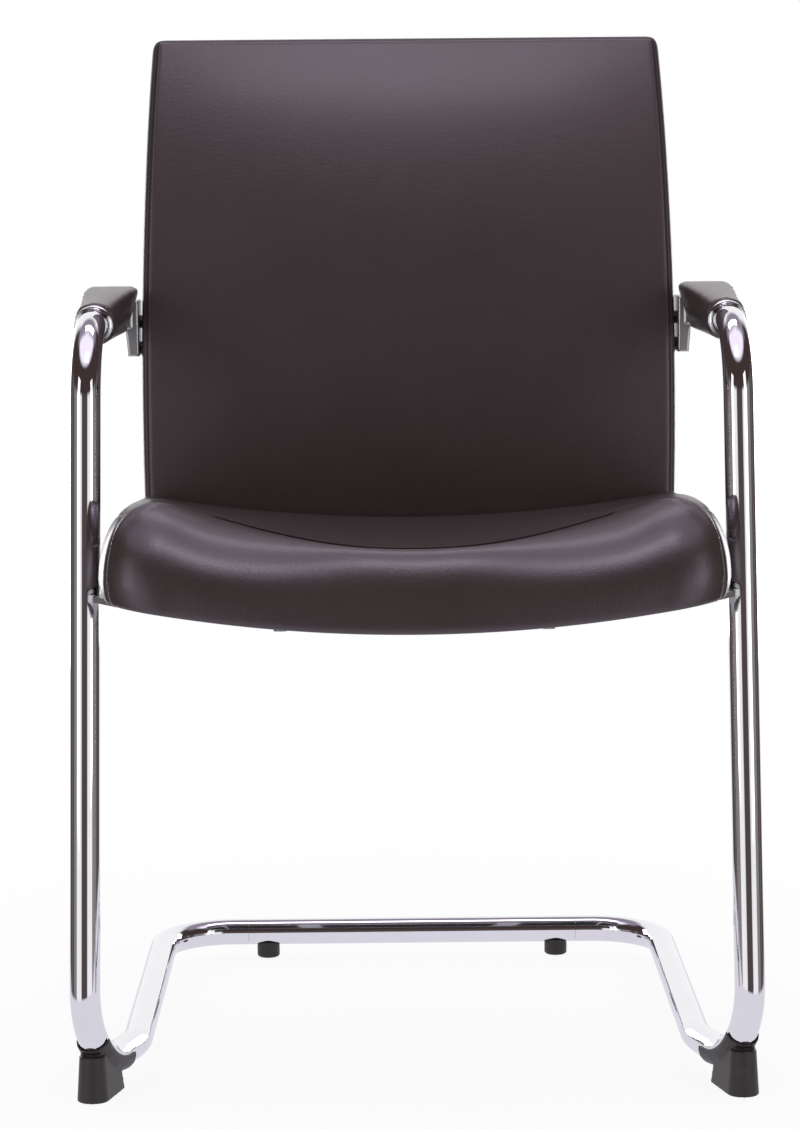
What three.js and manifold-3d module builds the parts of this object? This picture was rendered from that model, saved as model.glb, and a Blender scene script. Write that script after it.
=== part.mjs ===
// A sled base visitor chair: a bent chrome tube frame that carries a dished leather seat
// and a leather backrest. Millimetres, +Z up, the front of the chair towards -Y.
// Right is the +X side. The left side is the right one mirrored.
import * as THREE from "three";
import { mergeVertices } from "three/addons/utils/BufferGeometryUtils.js";
import Module from "manifold-3d";

const wasm = await Module();
wasm.setup();

// Fits
const fit_gap = 0.3; // between two hard pieces that touch
const layer_gap = 0.5; // between two bent layers
const soft_gap = 1.5; // around a hard piece in the upholstery
const overrun = 5; // how far a cut runs past a face

// Frame tube
const tube_diameter = 25;
const tube_wall = 2;
const bend_radius = 65;
const kink_radius = 100;
const arm_height = 635.5; // the arm tube's axis above the floor
const arm_half_width = 267.7;
const arm_front = 28; // where the arm's line meets the upright's
const foot_front = -36; // where the upright's line meets the runner's
const foot_splay = 6.8; // how much further out the foot is than the arm
const runner_toe_in = 28.2; // how much further in the runner is than the arm
const runner_start = 72; // where the toed in stretch meets the straight runner
const cross_tube_setback = 475;
const joint_past_bend = 14.5; // where side tube and rear cross tube are welded
const joint_sleeve_length = 27;
const floor_clearance = 12; // under the tube, made up by boots and glides

// Boots and glides
const boot_wall = 2;
const boot_wrap_degrees = 54; // how much of the floor bend a boot wraps
const boot_tail = 5;
const boot_nose_setback = 17;
const boot_nose_radius = 13.5;
const boot_length = 40; // from the nose's centre to the tail
const boot_tail_half_width = 11.5;
const boot_flank_height = 38; // above the floor, where the flanks meet the tube
const boot_flank_share = 0.82;
const boot_screw_setback = 49;
const glide_diameter = 22;
const glide_height = 15.5;
const glide_chamfer = 1.5;
const glide_from_joint = 19;
const foot_screw_diameter = 4;
const foot_screw_head_diameter = 8;
const foot_screw_head_height = 2.6;
const foot_screw_head_recess = 2;
const foot_screw_grip = 4; // how far the screw reaches into the tube

// Arms
const collar_setback = 104;
const collar_length = 10;
const collar_diameter = 33.6;
const collar_round = 2.4;
const pad_rear_gap = 1.7; // from the pad to the arm tube's end
const pad_front_radius = 17.6;
const pad_top = 27; // above the tube's axis
const pad_bottom = 15.6;
const pad_side = 15.9; // from the axis to the slanted side
const pad_side_slant_degrees = 17.7;
const pad_core_wall = 1;
const pad_flare_shares = [-0.25, 1.1]; // of the pad's length, where the flare would start and end
const lug_spigot_length = 24;
const lug_cap_length = 6;
const lug_inner_setback = 22.7; // inwards of the arm tube's axis
const lug_rise = 13.5; // the cheek's top above the arm tube's axis
const lug_drop = 37; // the cheek's bottom below it
const lug_top_thickness = 14;
const lug_bottom_thickness = 10;
const lug_plate_setback = 2; // behind the pad's rear end
const lug_plate_depth = 44;
const lug_edge = 1.2;
const lug_web_height = 22;

// Bolts that hold the backrest
const lug_bolt_diameter = 6;
const lug_bolt_head_diameter = 10;
const lug_bolt_head_height = 5;
const lug_bolt_drop = 14.5; // from the arm tube's axis to midway between a side's two bolts
const lug_bolt_half_spacing = 12;
const lug_bolt_setback = 27; // behind the arm tube's end
const lug_bolt_reach = 2; // past the strap's flange
const spacer_diameter = 12;

// Backrest, bent about an axis behind it
const back_front = 291; // the lumbar point of the front face
const back_lumbar_rise = 120; // the lumbar point above the seat's underside
const back_bend_radius = 900; // of the front face
const back_top_height = 885;
const back_bottom_rise_over_seat = 26; // above the seat's underside
const back_lug_gap = 3; // from the backrest's bottom edge to the lug's inner face, across the chair
const back_top_taper = 9; // how much narrower each side is at the top than at the bottom
const back_mid_taper = 0.2;
const back_corner = 14;
const back_thickness = 50;
const back_crown = 5;
const back_edge_roll = 9;
const back_edge_drop = 12;
const back_tuck = 4.5;
const back_foam = 26;
const back_shell_thickness = 10;
const back_shell_setback = 24; // inwards of the backrest's side
const back_pocket_wall = 10; // at the backrest's sides
const back_pocket_rim = 14; // top and bottom wall of the pocket
const back_panel_thickness = 3;
const strap_width = 45;
const strap_thickness = 4;
const strap_flange = 7;
const strap_flange_depth = 20;
const back_bolt_diameter = 6;
const back_bolt_head_diameter = 11;
const back_bolt_head_height = 3;
const back_bolt_grip = 8;
const back_bolt_lower_share = 0.458; // of the way from the backrest's bottom to the strap
const back_bolt_upper_drop = 25; // below the bars' top

// Seat, dished across its width
const seat_tilt_degrees = 2.3;
const seat_height = 400; // the underside's middle, at the uprights
const seat_front = -168;
const seat_rear = 289.5;
const seat_tube_gap = 3.2; // from the widest place to the arm tube's inner side, across the chair
const seat_front_taper = 1; // how much narrower each side is at the front
const seat_rear_taper = 5;
const seat_widest_from_front = 120;
const seat_front_bow = 9;
const seat_front_corner = 58;
const seat_rear_corner = 24;
const seat_dish_radius = 1260;
const seat_thickness = 62;
const seat_crown = 6;
const seat_front_roll = 26;
const seat_front_roll_drop = 30;
const seat_side_roll = 12;
const seat_side_roll_drop = 28;
const seat_tuck = 5;
const seat_waterfall_length = 95;
const seat_waterfall_drop = 12;
const seat_shell_thickness = 12;
const seat_shell_setback = 28; // inwards of the widest place
const seat_shell_front = -132;
const seat_shell_rear = 274;
const seat_cover_thickness = 2;

// Bearer and L bars that carry the seat
const bearer_width = 40;
const bearer_thickness = 5;
const bar_half_spacing = 110;
const bar_width = 25;
const bar_thickness = 5;
const bar_front = -48;
const bar_bend_radius = 30;
const bar_top_over_strap = 79; // above the strap's middle
const seat_bolt_diameter = 6;
const seat_bolt_head_diameter = 12;
const seat_bolt_head_height = 3;
const seat_bolt_grip = 9;
const seat_rear_bolt_setback = 215;

// Counts
const tube_sides = 16;
const bend_step_degrees = 15;
const back_step_degrees = 2.2; // the most that one facet of the bent backrest turns
const dish_step_degrees = 1.5; // and one facet of the dished seat
const curve_points = 6; // of each curve in a cushion's outline
const round_sides = 20;
const screw_sides = 12;
const collar_sides = 24;
const pad_sides = 32;
const pad_rings = 7;
const pad_corner_power = 14; // higher makes the rear section's corners sharper
const back_roll_steps = 4;
const back_tuck_steps = 3;
const seat_roll_steps = 5;
const seat_tuck_steps = 4;
const merge_distance = 1e-4;

// A cushion's rings, as shares of its outline, from the middle of its face and to the middle below
const face_ring_shares = [0, 0.3, 0.58, 0.8, 0.92];
const underside_ring_shares = [0.5, 0];

const radians = THREE.MathUtils.degToRad;
const tube_radius = tube_diameter / 2;
const axis_height = floor_clearance + tube_radius;

// Widths that follow the arm's
const foot_half_width = arm_half_width + foot_splay;
const runner_half_width = arm_half_width - runner_toe_in;
const joint_half_width = runner_half_width - bend_radius - joint_past_bend;
const glide_half_spacing = joint_half_width - glide_from_joint;
const lug_inner_face = arm_half_width - lug_inner_setback;
const back_bottom_half_width = lug_inner_face - back_lug_gap;
const back_mid_half_width = back_bottom_half_width - back_mid_taper;
const back_top_half_width = back_bottom_half_width - back_top_taper;
const back_shell_half_width = back_bottom_half_width - back_shell_setback;
const back_pocket_half_width = back_bottom_half_width - back_pocket_wall; // narrower above
const seat_widest_half_width = arm_half_width - tube_radius - seat_tube_gap;
const seat_front_half_width = seat_widest_half_width - seat_front_taper;
const seat_rear_half_width = seat_widest_half_width - seat_rear_taper;
const seat_shell_half_width = seat_widest_half_width - seat_shell_setback;

// Heights that follow the arm's or the seat's
const lug_top = arm_height + lug_rise;
const lug_bottom = arm_height - lug_drop;
const lug_bolt_height = arm_height - lug_bolt_drop;
const bar_top_height = lug_bolt_height + bar_top_over_strap;
const back_lumbar_height = seat_height + back_lumbar_rise;
const back_bottom_height = seat_height + back_bottom_rise_over_seat;
const strap_bottom = lug_bolt_height - strap_width / 2;
const back_bolt_lower = THREE.MathUtils.lerp(back_bottom_height, strap_bottom, back_bolt_lower_share);
const back_bolt_heights = [back_bolt_lower, bar_top_height - back_bolt_upper_drop];

// Finishes
const finish = (color, roughness, metalness) => () =>
  new THREE.MeshStandardMaterial({ color, roughness, metalness });
const chrome = finish(0xd8d8de, 0.06, 1);
const steel = finish(0x8d9096, 0.4, 1);
const cast_alloy = finish(0xa6a8b4, 0.3, 1);
const black_plastic = finish(0x1c1a1c, 0.55, 0);
const leather = finish(0x3b3136, 0.42, 0);
const pad_leather = finish(0x4a4044, 0.5, 0);
const plywood = finish(0xb99768, 0.7, 0);
const lining = finish(0x201d1f, 0.9, 0);

const chair = new THREE.Group();
const seat_frame = new THREE.Group();
seat_frame.position.z = seat_height;
seat_frame.rotation.x = -radians(seat_tilt_degrees);
seat_frame.updateMatrix();
chair.add(seat_frame);

function piece(name, geometry, material, parent = chair) {
  const mesh = new THREE.Mesh(geometry, material());
  mesh.name = name;
  parent.add(mesh);
  return mesh;
}

// A right piece and its mirrored left one.
function pair(name, geometry, material, parent = chair) {
  piece(`${name}_right`, geometry, material, parent);
  piece(`${name}_left`, geometry, material, parent).scale.x = -1;
}

// Joins and cuts
function solid(geometry) {
  const bare = geometry.index ? geometry.toNonIndexed() : geometry.clone();
  bare.deleteAttribute("normal");
  bare.deleteAttribute("uv");
  const merged = mergeVertices(bare, merge_distance);
  return new wasm.Manifold(
    new wasm.Mesh({
      numProp: 3,
      vertProperties: merged.attributes.position.array,
      triVerts: new Uint32Array(merged.index.array),
    }),
  );
}

function geometryOf(shape) {
  const mesh = shape.getMesh();
  const geometry = new THREE.BufferGeometry();
  geometry.setAttribute("position", new THREE.BufferAttribute(new Float32Array(mesh.vertProperties), 3));
  geometry.setIndex(new THREE.BufferAttribute(new Uint32Array(mesh.triVerts), 1));
  geometry.computeVertexNormals();
  return geometry;
}

const joined = (first, ...others) =>
  geometryOf(others.reduce((shape, other) => shape.add(solid(other)), solid(first)));
const cut = (body, ...cutters) =>
  geometryOf(cutters.reduce((shape, cutter) => shape.subtract(solid(cutter)), solid(body)));

// A corner of a centre line, rounded to a radius: its stations, each a place and a direction.
function bend(before, corner, after, radius) {
  const start_direction = corner.clone().sub(before).normalize();
  const end_direction = after.clone().sub(corner).normalize();
  const angle = start_direction.angleTo(end_direction);
  const start = corner.clone().addScaledVector(start_direction, -radius * Math.tan(angle / 2));
  const axis = start_direction.clone().cross(end_direction).normalize();
  const centre = start.clone().addScaledVector(axis.clone().cross(start_direction), radius);
  const at = (turned) => ({
    point: start.clone().sub(centre).applyAxisAngle(axis, turned).add(centre),
    direction: start_direction.clone().applyAxisAngle(axis, turned),
  });
  const between = (from, to) => {
    const steps = Math.ceil((to - from) / radians(bend_step_degrees));
    return Array.from({ length: steps + 1 }, (_, step) => at(from + ((to - from) * step) / steps));
  };
  return { angle, axis, centre, end_direction, between, stations: between(0, angle) };
}

const straight = (from, to) => {
  const direction = to.clone().sub(from).normalize();
  return [from, to].map((point) => ({ point, direction }));
};

// A centre line that gives one place and direction for each of its stations.
class StationLine extends THREE.Curve {
  constructor(stations) {
    super();
    this.stations = stations;
  }
  nearest(share) {
    return this.stations[Math.round(share * (this.stations.length - 1))];
  }
  getPointAt(share) {
    return this.nearest(share).point.clone();
  }
  getTangentAt(share) {
    return this.nearest(share).direction.clone();
  }
}

function swept(section, stations) {
  return new THREE.ExtrudeGeometry(section, {
    steps: stations.length - 1,
    extrudePath: new StationLine(stations),
    curveSegments: tube_sides / 2,
  });
}

const disc = (radius) => new THREE.Shape().absarc(0, 0, radius, 0, 2 * Math.PI);

function ring(outer_radius, inner_radius) {
  const section = disc(outer_radius);
  section.holes.push(disc(inner_radius));
  return section;
}

// A faceted bore's corners stand out, so that its flats clear a round piece.
const bore = (radius, sides = tube_sides) => radius / Math.cos(Math.PI / sides);

function rod(radius, from, to, sides = screw_sides) {
  const geometry = new THREE.CylinderGeometry(radius, radius, from.distanceTo(to), sides);
  const direction = to.clone().sub(from).normalize();
  const turn = new THREE.Quaternion().setFromUnitVectors(new THREE.Vector3(0, 1, 0), direction);
  geometry.applyQuaternion(turn);
  const middle = from.clone().lerp(to, 0.5);
  return geometry.translate(middle.x, middle.y, middle.z);
}

function block(low, high) {
  const size = high.clone().sub(low);
  const middle = low.clone().lerp(high, 0.5);
  return new THREE.BoxGeometry(size.x, size.y, size.z).translate(middle.x, middle.y, middle.z);
}

const at = (x, y, z) => new THREE.Vector3(x, y, z);

// Backrest layers lie on arcs about one axis behind the chair. A place in the backrest is given by x,
// its rise along the front face from the lumbar point, and its depth behind the front face.
const back_axis = at(0, back_front + back_bend_radius, back_lumbar_height);
const riseAt = (height) => back_bend_radius * Math.asin((height - back_lumbar_height) / back_bend_radius);
const back_top_rise = riseAt(back_top_height + back_edge_drop / 2);
const back_bottom_rise = riseAt(back_bottom_height);

function inBack(x, rise, depth) {
  const angle = rise / back_bend_radius;
  const radius = back_bend_radius - depth;
  return at(x, back_axis.y - radius * Math.cos(angle), back_axis.z + radius * Math.sin(angle));
}

const back_pocket_low = back_bottom_rise + back_pocket_rim;
const back_pocket_high = back_top_rise - back_pocket_rim;
const back_shell_front = back_foam + layer_gap;
const bar_depth = back_shell_front + back_shell_thickness + layer_gap;
const strap_depth = bar_depth + bar_thickness + layer_gap;
const back_panel_depth = back_thickness - back_panel_thickness - layer_gap;

// The lug bolts' place in the strap's flanges, which the arm ends in front of
const strap_rise = riseAt(lug_bolt_height);
const strap_front_depth = strap_depth + strap_thickness - strap_flange_depth;
const lug_bolt_depth = strap_front_depth + (strap_flange_depth - strap_thickness) / 2;
const lug_bolt_place = inBack(0, strap_rise, lug_bolt_depth);
const arm_rear = lug_bolt_place.y - lug_bolt_setback;

// The frame's centre line, right side
const arm_end = at(arm_half_width, arm_rear, arm_height);
const arm_corner = at(arm_half_width, arm_front, arm_height);
const foot_corner = at(foot_half_width, foot_front, axis_height);
const kink_corner = at(runner_half_width, runner_start, axis_height);
const rear_corner = at(runner_half_width, cross_tube_setback, axis_height);
const joint_end = at(joint_half_width, cross_tube_setback, axis_height);

const arm_bend = bend(arm_end, arm_corner, foot_corner, bend_radius);
const floor_bend = bend(arm_corner, foot_corner, kink_corner, bend_radius);
const kink = bend(foot_corner, kink_corner, rear_corner, kink_radius);
const rear_bend = bend(kink_corner, rear_corner, joint_end, bend_radius);
const toe_in = floor_bend.end_direction;

const side_line = [
  straight(arm_end, arm_corner)[0],
  ...arm_bend.stations,
  ...floor_bend.stations,
  ...kink.stations,
  ...rear_bend.stations,
  straight(rear_corner, joint_end)[1],
];

const tube_section = ring(tube_radius, tube_radius - tube_wall);

// Boot and glide screws stand upright: a head in a recess of the sole, a shank into the tube.
function footScrew(x, y) {
  const head_low = foot_screw_head_recess;
  const head_high = head_low + foot_screw_head_height;
  const shank_high = floor_clearance + tube_wall + foot_screw_grip;
  const shank_radius = foot_screw_diameter / 2;
  const head_radius = foot_screw_head_diameter / 2;
  return {
    screw: joined(
      rod(head_radius, at(x, y, head_low), at(x, y, head_high)),
      rod(shank_radius, at(x, y, (head_low + head_high) / 2), at(x, y, shank_high)),
    ),
    sole_hole: [
      rod(bore(head_radius + fit_gap, screw_sides), at(x, y, -overrun), at(x, y, head_high + fit_gap)),
      rod(bore(shank_radius + fit_gap, screw_sides), at(x, y, 0), at(x, y, axis_height)),
    ],
    tube_hole: rod(
      bore(shank_radius + fit_gap, screw_sides),
      at(x, y, floor_clearance - overrun),
      at(x, y, shank_high + overrun),
    ),
  };
}

const boot_screw_place = foot_corner.clone().addScaledVector(toe_in, boot_screw_setback);
const boot_screw = footScrew(boot_screw_place.x, boot_screw_place.y);
const glide_screw = footScrew(glide_half_spacing, cross_tube_setback);
const left_glide_screw = footScrew(-glide_half_spacing, cross_tube_setback);

function makeFrame() {
  pair("side_tube", cut(swept(tube_section, side_line), boot_screw.tube_hole), chrome);
  const cross_end = at(joint_half_width - fit_gap, cross_tube_setback, axis_height);
  const cross_line = straight(cross_end.clone().setX(-cross_end.x), cross_end);
  const cross_tube = swept(tube_section, cross_line);
  piece("rear_cross_tube", cut(cross_tube, glide_screw.tube_hole, left_glide_screw.tube_hole), chrome);
  const sleeve_radius = tube_radius - tube_wall - layer_gap;
  const sleeve_half = at(joint_sleeve_length / 2, 0, 0);
  const sleeve_line = straight(joint_end.clone().sub(sleeve_half), joint_end.clone().add(sleeve_half));
  pair("joint_sleeve", swept(ring(sleeve_radius, sleeve_radius - tube_wall), sleeve_line), steel);
}

// Boot: a thin wrap round the outside of the floor bend, on a sole with a round nose.
function makeBoots() {
  const wrap_start = floor_bend.angle - radians(boot_wrap_degrees);
  const wrap = floor_bend.between(wrap_start, floor_bend.angle);
  const last = wrap[wrap.length - 1];
  const tail_point = last.point.clone().addScaledVector(last.direction, boot_tail);
  wrap.push({ point: tail_point, direction: last.direction });
  const wrapped = swept(disc(tube_radius + boot_wall), wrap);

  const outline = new THREE.Shape();
  outline.absarc(0, 0, boot_nose_radius, Math.PI, 2 * Math.PI);
  outline.lineTo(boot_tail_half_width, boot_length);
  outline.lineTo(-boot_tail_half_width, boot_length);
  const sole = new THREE.ExtrudeGeometry(outline, {
    depth: boot_flank_height,
    bevelEnabled: false,
    curveSegments: round_sides / 2,
  });
  const places = sole.attributes.position;
  for (let i = 0; i < places.count; i += 1) {
    const share = places.getZ(i) > 0 ? boot_flank_share : 1;
    places.setXY(i, places.getX(i) * share, places.getY(i) * share);
  }
  const nose = foot_corner.clone().addScaledVector(toe_in, boot_nose_setback);
  sole.rotateZ(Math.atan2(-toe_in.x, toe_in.y)).translate(nose.x, nose.y, 0);

  const reach = floor_bend.axis.clone().multiplyScalar(tube_diameter);
  const inner_side = rod(
    bend_radius - boot_wall,
    floor_bend.centre.clone().sub(reach),
    floor_bend.centre.clone().add(reach),
    2 * round_sides,
  );
  const tube_room = swept(disc(bore(tube_radius + fit_gap)), floor_bend.stations.concat(kink.stations));
  const shape = cut(joined(wrapped, sole), inner_side, tube_room, ...boot_screw.sole_hole);
  pair("front_boot", shape, black_plastic);
  pair("boot_screw", boot_screw.screw, steel);
}

// Glide: a round foot, saddle cut to the tube.
function makeGlides() {
  const radius = glide_diameter / 2;
  const profile = [
    [0, 0],
    [radius - glide_chamfer, 0],
    [radius, glide_chamfer],
    [radius, glide_height],
    [0, glide_height],
  ].map(([x, y]) => new THREE.Vector2(x, y));
  const foot = new THREE.LatheGeometry(profile, round_sides).rotateX(Math.PI / 2);
  foot.translate(glide_half_spacing, cross_tube_setback, 0);
  const tube_room = swept(
    disc(bore(tube_radius + fit_gap)),
    straight(at(0, cross_tube_setback, axis_height), at(joint_half_width, cross_tube_setback, axis_height)),
  );
  pair("rear_glide", cut(foot, tube_room, ...glide_screw.sole_hole), black_plastic);
  pair("glide_screw", glide_screw.screw, steel);
}

// Collar: a chrome ring with round edges, in front of the pad.
function makeCollars() {
  const inner = bore(tube_radius + fit_gap, collar_sides);
  const outer = collar_diameter / 2;
  const profile = [
    [inner, 0],
    [outer - collar_round, 0],
    [outer, collar_round],
    [outer, collar_length - collar_round],
    [outer - collar_round, collar_length],
    [inner, collar_length],
    [inner, 0],
  ].map(([x, y]) => new THREE.Vector2(x, y));
  const collar = new THREE.LatheGeometry(profile, collar_sides);
  pair("arm_collar", collar.translate(arm_half_width, collar_setback, arm_height), chrome);
}

// Pad: a plastic core on the tube, in a leather sleeve that goes from round to an inverted trapezoid.
const pad_start = collar_setback + collar_length + fit_gap;
const pad_end = arm_rear - pad_rear_gap;
const pad_length = pad_end - pad_start;

function makePads() {
  const core_radius = tube_radius + fit_gap + pad_core_wall;
  const pad_front = at(arm_half_width, pad_start, arm_height);
  const pad_rear = at(arm_half_width, pad_end, arm_height);
  const core_line = straight(pad_front, pad_rear);
  pair("arm_pad_core", swept(ring(core_radius, bore(tube_radius + fit_gap)), core_line), black_plastic);

  const slant = radians(pad_side_slant_degrees);
  const flats = [
    { facing: Math.PI / 2, away: pad_top },
    { facing: -Math.PI / 2, away: pad_bottom },
    { facing: -slant, away: pad_side },
    { facing: Math.PI + slant, away: pad_side },
  ];
  const rearRadius = (angle) => {
    const sum = flats.reduce((total, flat) => {
      const share = Math.max(Math.cos(angle - flat.facing), 0) / flat.away;
      return total + share ** pad_corner_power;
    }, 0);
    return sum ** (-1 / pad_corner_power);
  };
  const pad = new THREE.CylinderGeometry(1, 1, 1, pad_sides, pad_rings);
  const places = pad.attributes.position;
  for (let i = 0; i < places.count; i += 1) {
    const x = places.getX(i);
    const z = places.getZ(i);
    const share = 0.5 + places.getY(i);
    const angle = Math.atan2(z, x);
    const growth = THREE.MathUtils.smoothstep(share, ...pad_flare_shares);
    const edge = THREE.MathUtils.lerp(pad_front_radius, rearRadius(angle), growth);
    const radius = edge * Math.hypot(x, z);
    places.setXYZ(
      i,
      arm_half_width + radius * Math.cos(angle),
      pad_start + share * pad_length,
      arm_height + radius * Math.sin(angle),
    );
  }
  const past_end = at(0, overrun, 0);
  const room_line = straight(pad_front.clone().sub(past_end), pad_rear.clone().add(past_end));
  const room = swept(disc(bore(core_radius + fit_gap)), room_line);
  pair("arm_pad_cover", cut(pad, room), pad_leather);
}

// What is inside the backrest narrows towards the top as its outline does.
const narrowing = (height) =>
  THREE.MathUtils.mapLinear(
    height,
    back_bottom_height,
    back_top_height,
    1,
    back_top_half_width / back_bottom_half_width,
  );

const sideways = new THREE.Matrix4().makeBasis(at(0, 1, 0), at(0, 0, 1), at(1, 0, 0));

// An arc is drawn with two facets to a segment.
const arcSegments = (angle, step_degrees) => Math.ceil(angle / radians(2 * step_degrees));

// A bent slab of the backrest, between two depths and two rises.
function backLayer(front_depth, rear_depth, low_rise, high_rise, half_width) {
  const side = new THREE.Shape();
  const low = Math.PI - low_rise / back_bend_radius;
  const high = Math.PI - high_rise / back_bend_radius;
  side.absarc(back_axis.y, back_axis.z, back_bend_radius - front_depth, low, high, true);
  side.absarc(back_axis.y, back_axis.z, back_bend_radius - rear_depth, high, low, false);
  const slab = new THREE.ExtrudeGeometry(side, {
    depth: 2 * half_width,
    bevelEnabled: false,
    curveSegments: arcSegments(low - high, back_step_degrees),
  });
  slab.translate(0, 0, -half_width).applyMatrix4(sideways);
  const places = slab.attributes.position;
  for (let i = 0; i < places.count; i += 1) places.setX(i, places.getX(i) * narrowing(places.getZ(i)));
  return slab;
}

// A cushion: an outline seen from its face, carried down through rows from the middle of the face,
// over the rolled edge and the side, to the middle of the underside. Where an edge faces the front,
// it follows the front rows.
function cushion(outline, rows, front_rows, place) {
  const count = outline.length;
  const geometry = new THREE.SphereGeometry(1, count, rows.length - 1);
  const places = geometry.attributes.position;
  const outward = outline.map((_, i) => {
    const tangent = outline[(i + 1) % count].clone().sub(outline[(i + count - 1) % count]);
    return new THREE.Vector2(tangent.y, -tangent.x).normalize();
  });
  rows.forEach(({ share, inset, height }, row) => {
    for (let column = 0; column <= count; column += 1) {
      const out = outward[column % count];
      const front_share = Math.max(0, -out.y) ** 2;
      const drawn_in = inset + (front_rows[row].inset - inset) * front_share;
      const raised = height + (front_rows[row].height - height) * front_share;
      const edge = outline[column % count].clone().addScaledVector(out, -drawn_in);
      const spot = place(edge.x * share, edge.y * share, raised, share);
      places.setXYZ(row * (count + 1) + column, spot.x, spot.y, spot.z);
    }
  });
  return geometry;
}

// How full a cushion is at a place of its face: 1 in the middle, 0 at the edges.
function fullness(x, y, half_width, half_length) {
  const across = Math.max(0, 1 - (x / half_width) ** 2);
  const along = Math.max(0, 1 - (y / half_length) ** 2);
  return Math.sqrt(across * along);
}

// Rows of a cushion whose face edge rolls over, and whose side tucks in to the underside.
function cushionRows(thickness, roll, roll_drop, tuck, roll_steps, tuck_steps) {
  const rows = face_ring_shares.map((share) => ({ share, inset: roll, height: thickness }));
  for (let step = 0; step <= roll_steps; step += 1) {
    const turned = (step / roll_steps) * (Math.PI / 2);
    const height = thickness - roll_drop * (1 - Math.cos(turned));
    rows.push({ share: 1, inset: roll * (1 - Math.sin(turned)), height });
  }
  for (let step = 1; step <= tuck_steps; step += 1) {
    const turned = (step / tuck_steps) * (Math.PI / 2);
    const height = (thickness - roll_drop) * (1 - Math.sin(turned));
    rows.push({ share: 1, inset: tuck * (1 - Math.cos(turned)), height });
  }
  underside_ring_shares.forEach((share) => rows.push({ share, inset: tuck, height: 0 }));
  return rows;
}

// L bars: from under the seat, round a bend, up behind the plywood of the back.

const seatDish = (x) => seat_dish_radius - Math.sqrt(seat_dish_radius ** 2 - x ** 2);
const seat_cover_low = layer_gap;
const seat_cover_high = seat_cover_low + seat_cover_thickness;
const seat_shell_low = seat_cover_high + layer_gap;
const seat_shell_high = seat_shell_low + seat_shell_thickness;
const bar_inner_edge = bar_half_spacing - bar_width / 2;
const bar_outer_edge = bar_half_spacing + bar_width / 2;
const bar_seat_top = seatDish(bar_inner_edge) + seat_cover_low - layer_gap;
const bar_seat_low = bar_seat_top - bar_thickness;
const bearer_top = bar_seat_low - seatDish(bar_outer_edge) - layer_gap; // of its lowest point

const inSeat = (x, y, z) => at(x, y, z).applyMatrix4(seat_frame.matrix);

function barLine() {
  const middle_depth = bar_depth + bar_thickness / 2;
  const top_rise = riseAt(bar_top_height);
  const low_rise = back_bottom_rise + back_pocket_rim / 2;
  const steps = Math.ceil((top_rise - low_rise) / back_bend_radius / radians(back_step_degrees));
  const stations = [];
  for (let step = 0; step <= steps; step += 1) {
    const rise = THREE.MathUtils.lerp(top_rise, low_rise, step / steps);
    const angle = rise / back_bend_radius;
    const direction = at(0, -Math.sin(angle), -Math.cos(angle));
    stations.push({ point: inBack(bar_half_spacing, rise, middle_depth), direction });
  }
  const low = stations[steps];
  const front = inSeat(bar_half_spacing, bar_front, bar_seat_top - bar_thickness / 2);
  const rearwards = inSeat(0, 1, 0).sub(inSeat(0, 0, 0));
  const across = at(1, 0, 0);
  const seat_normal = rearwards.clone().cross(across);
  const drop = front.clone().sub(low.point).dot(seat_normal) / low.direction.dot(seat_normal);
  const corner = low.point.clone().addScaledVector(low.direction, drop);
  const turn = bend(low.point, corner, front, bar_bend_radius);
  return [...stations, ...turn.stations, straight(corner, front)[1]];
}

function barSection(clearance) {
  const half_width = bar_width / 2 + clearance;
  const half_thickness = bar_thickness / 2 + clearance;
  return new THREE.Shape()
    .moveTo(-half_width, -half_thickness)
    .lineTo(half_width, -half_thickness)
    .lineTo(half_width, half_thickness)
    .lineTo(-half_width, half_thickness);
}

const bar_line = barLine();

// A bolt along an axis: a head, then a shank through a bore into its thread.
function bolt(place, towards, diameter, head_diameter, head_height, grip) {
  const head_end = place.clone().addScaledVector(towards, -head_height);
  const overlap = place.clone().addScaledVector(towards, -head_height / 2);
  const shank_end = place.clone().addScaledVector(towards, grip);
  const hole_start = head_end.clone().addScaledVector(towards, -overrun);
  const hole_end = shank_end.clone().addScaledVector(towards, fit_gap);
  return {
    screw: joined(rod(head_diameter / 2, head_end, place), rod(diameter / 2, overlap, shank_end)),
    hole: rod(bore(diameter / 2 + fit_gap, screw_sides), hole_start, hole_end),
    head_room: rod(bore(head_diameter / 2 + fit_gap, screw_sides), hole_start, place),
  };
}

// Seat bolts go up into the seat's plywood: the front ones through bearer and bar, the rear ones
// through the bar.
const seat_up = at(0, 0, 1);
const seat_bolt_shell_reach = seat_shell_low + seatDish(bar_half_spacing) + seat_bolt_grip;
const bolt_inner_edge = bar_half_spacing - seat_bolt_head_diameter / 2;
const bearer_bolt_face = bearer_top + seatDish(bolt_inner_edge) - bearer_thickness;
const seatBolt = (y, face) => {
  const place = at(bar_half_spacing, y, face - fit_gap);
  const grip = seat_bolt_shell_reach - place.z;
  return bolt(place, seat_up, seat_bolt_diameter, seat_bolt_head_diameter, seat_bolt_head_height, grip);
};
const seat_bolt_front = seatBolt(0, bearer_bolt_face);
const seat_bolt_rear = seatBolt(seat_rear_bolt_setback, bar_seat_low);
const seat_bolts = [seat_bolt_front, seat_bolt_rear];

// Back bolts go forwards through the bar into the plywood.
const back_bolts = back_bolt_heights.map((height) => {
  const rise = riseAt(height);
  const place = inBack(bar_half_spacing, rise, bar_depth + bar_thickness + fit_gap);
  const towards = inBack(0, rise, 0).sub(inBack(0, rise, 1));
  const grip = bar_thickness + fit_gap + layer_gap + back_bolt_grip;
  return bolt(place, towards, back_bolt_diameter, back_bolt_head_diameter, back_bolt_head_height, grip);
});

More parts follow.
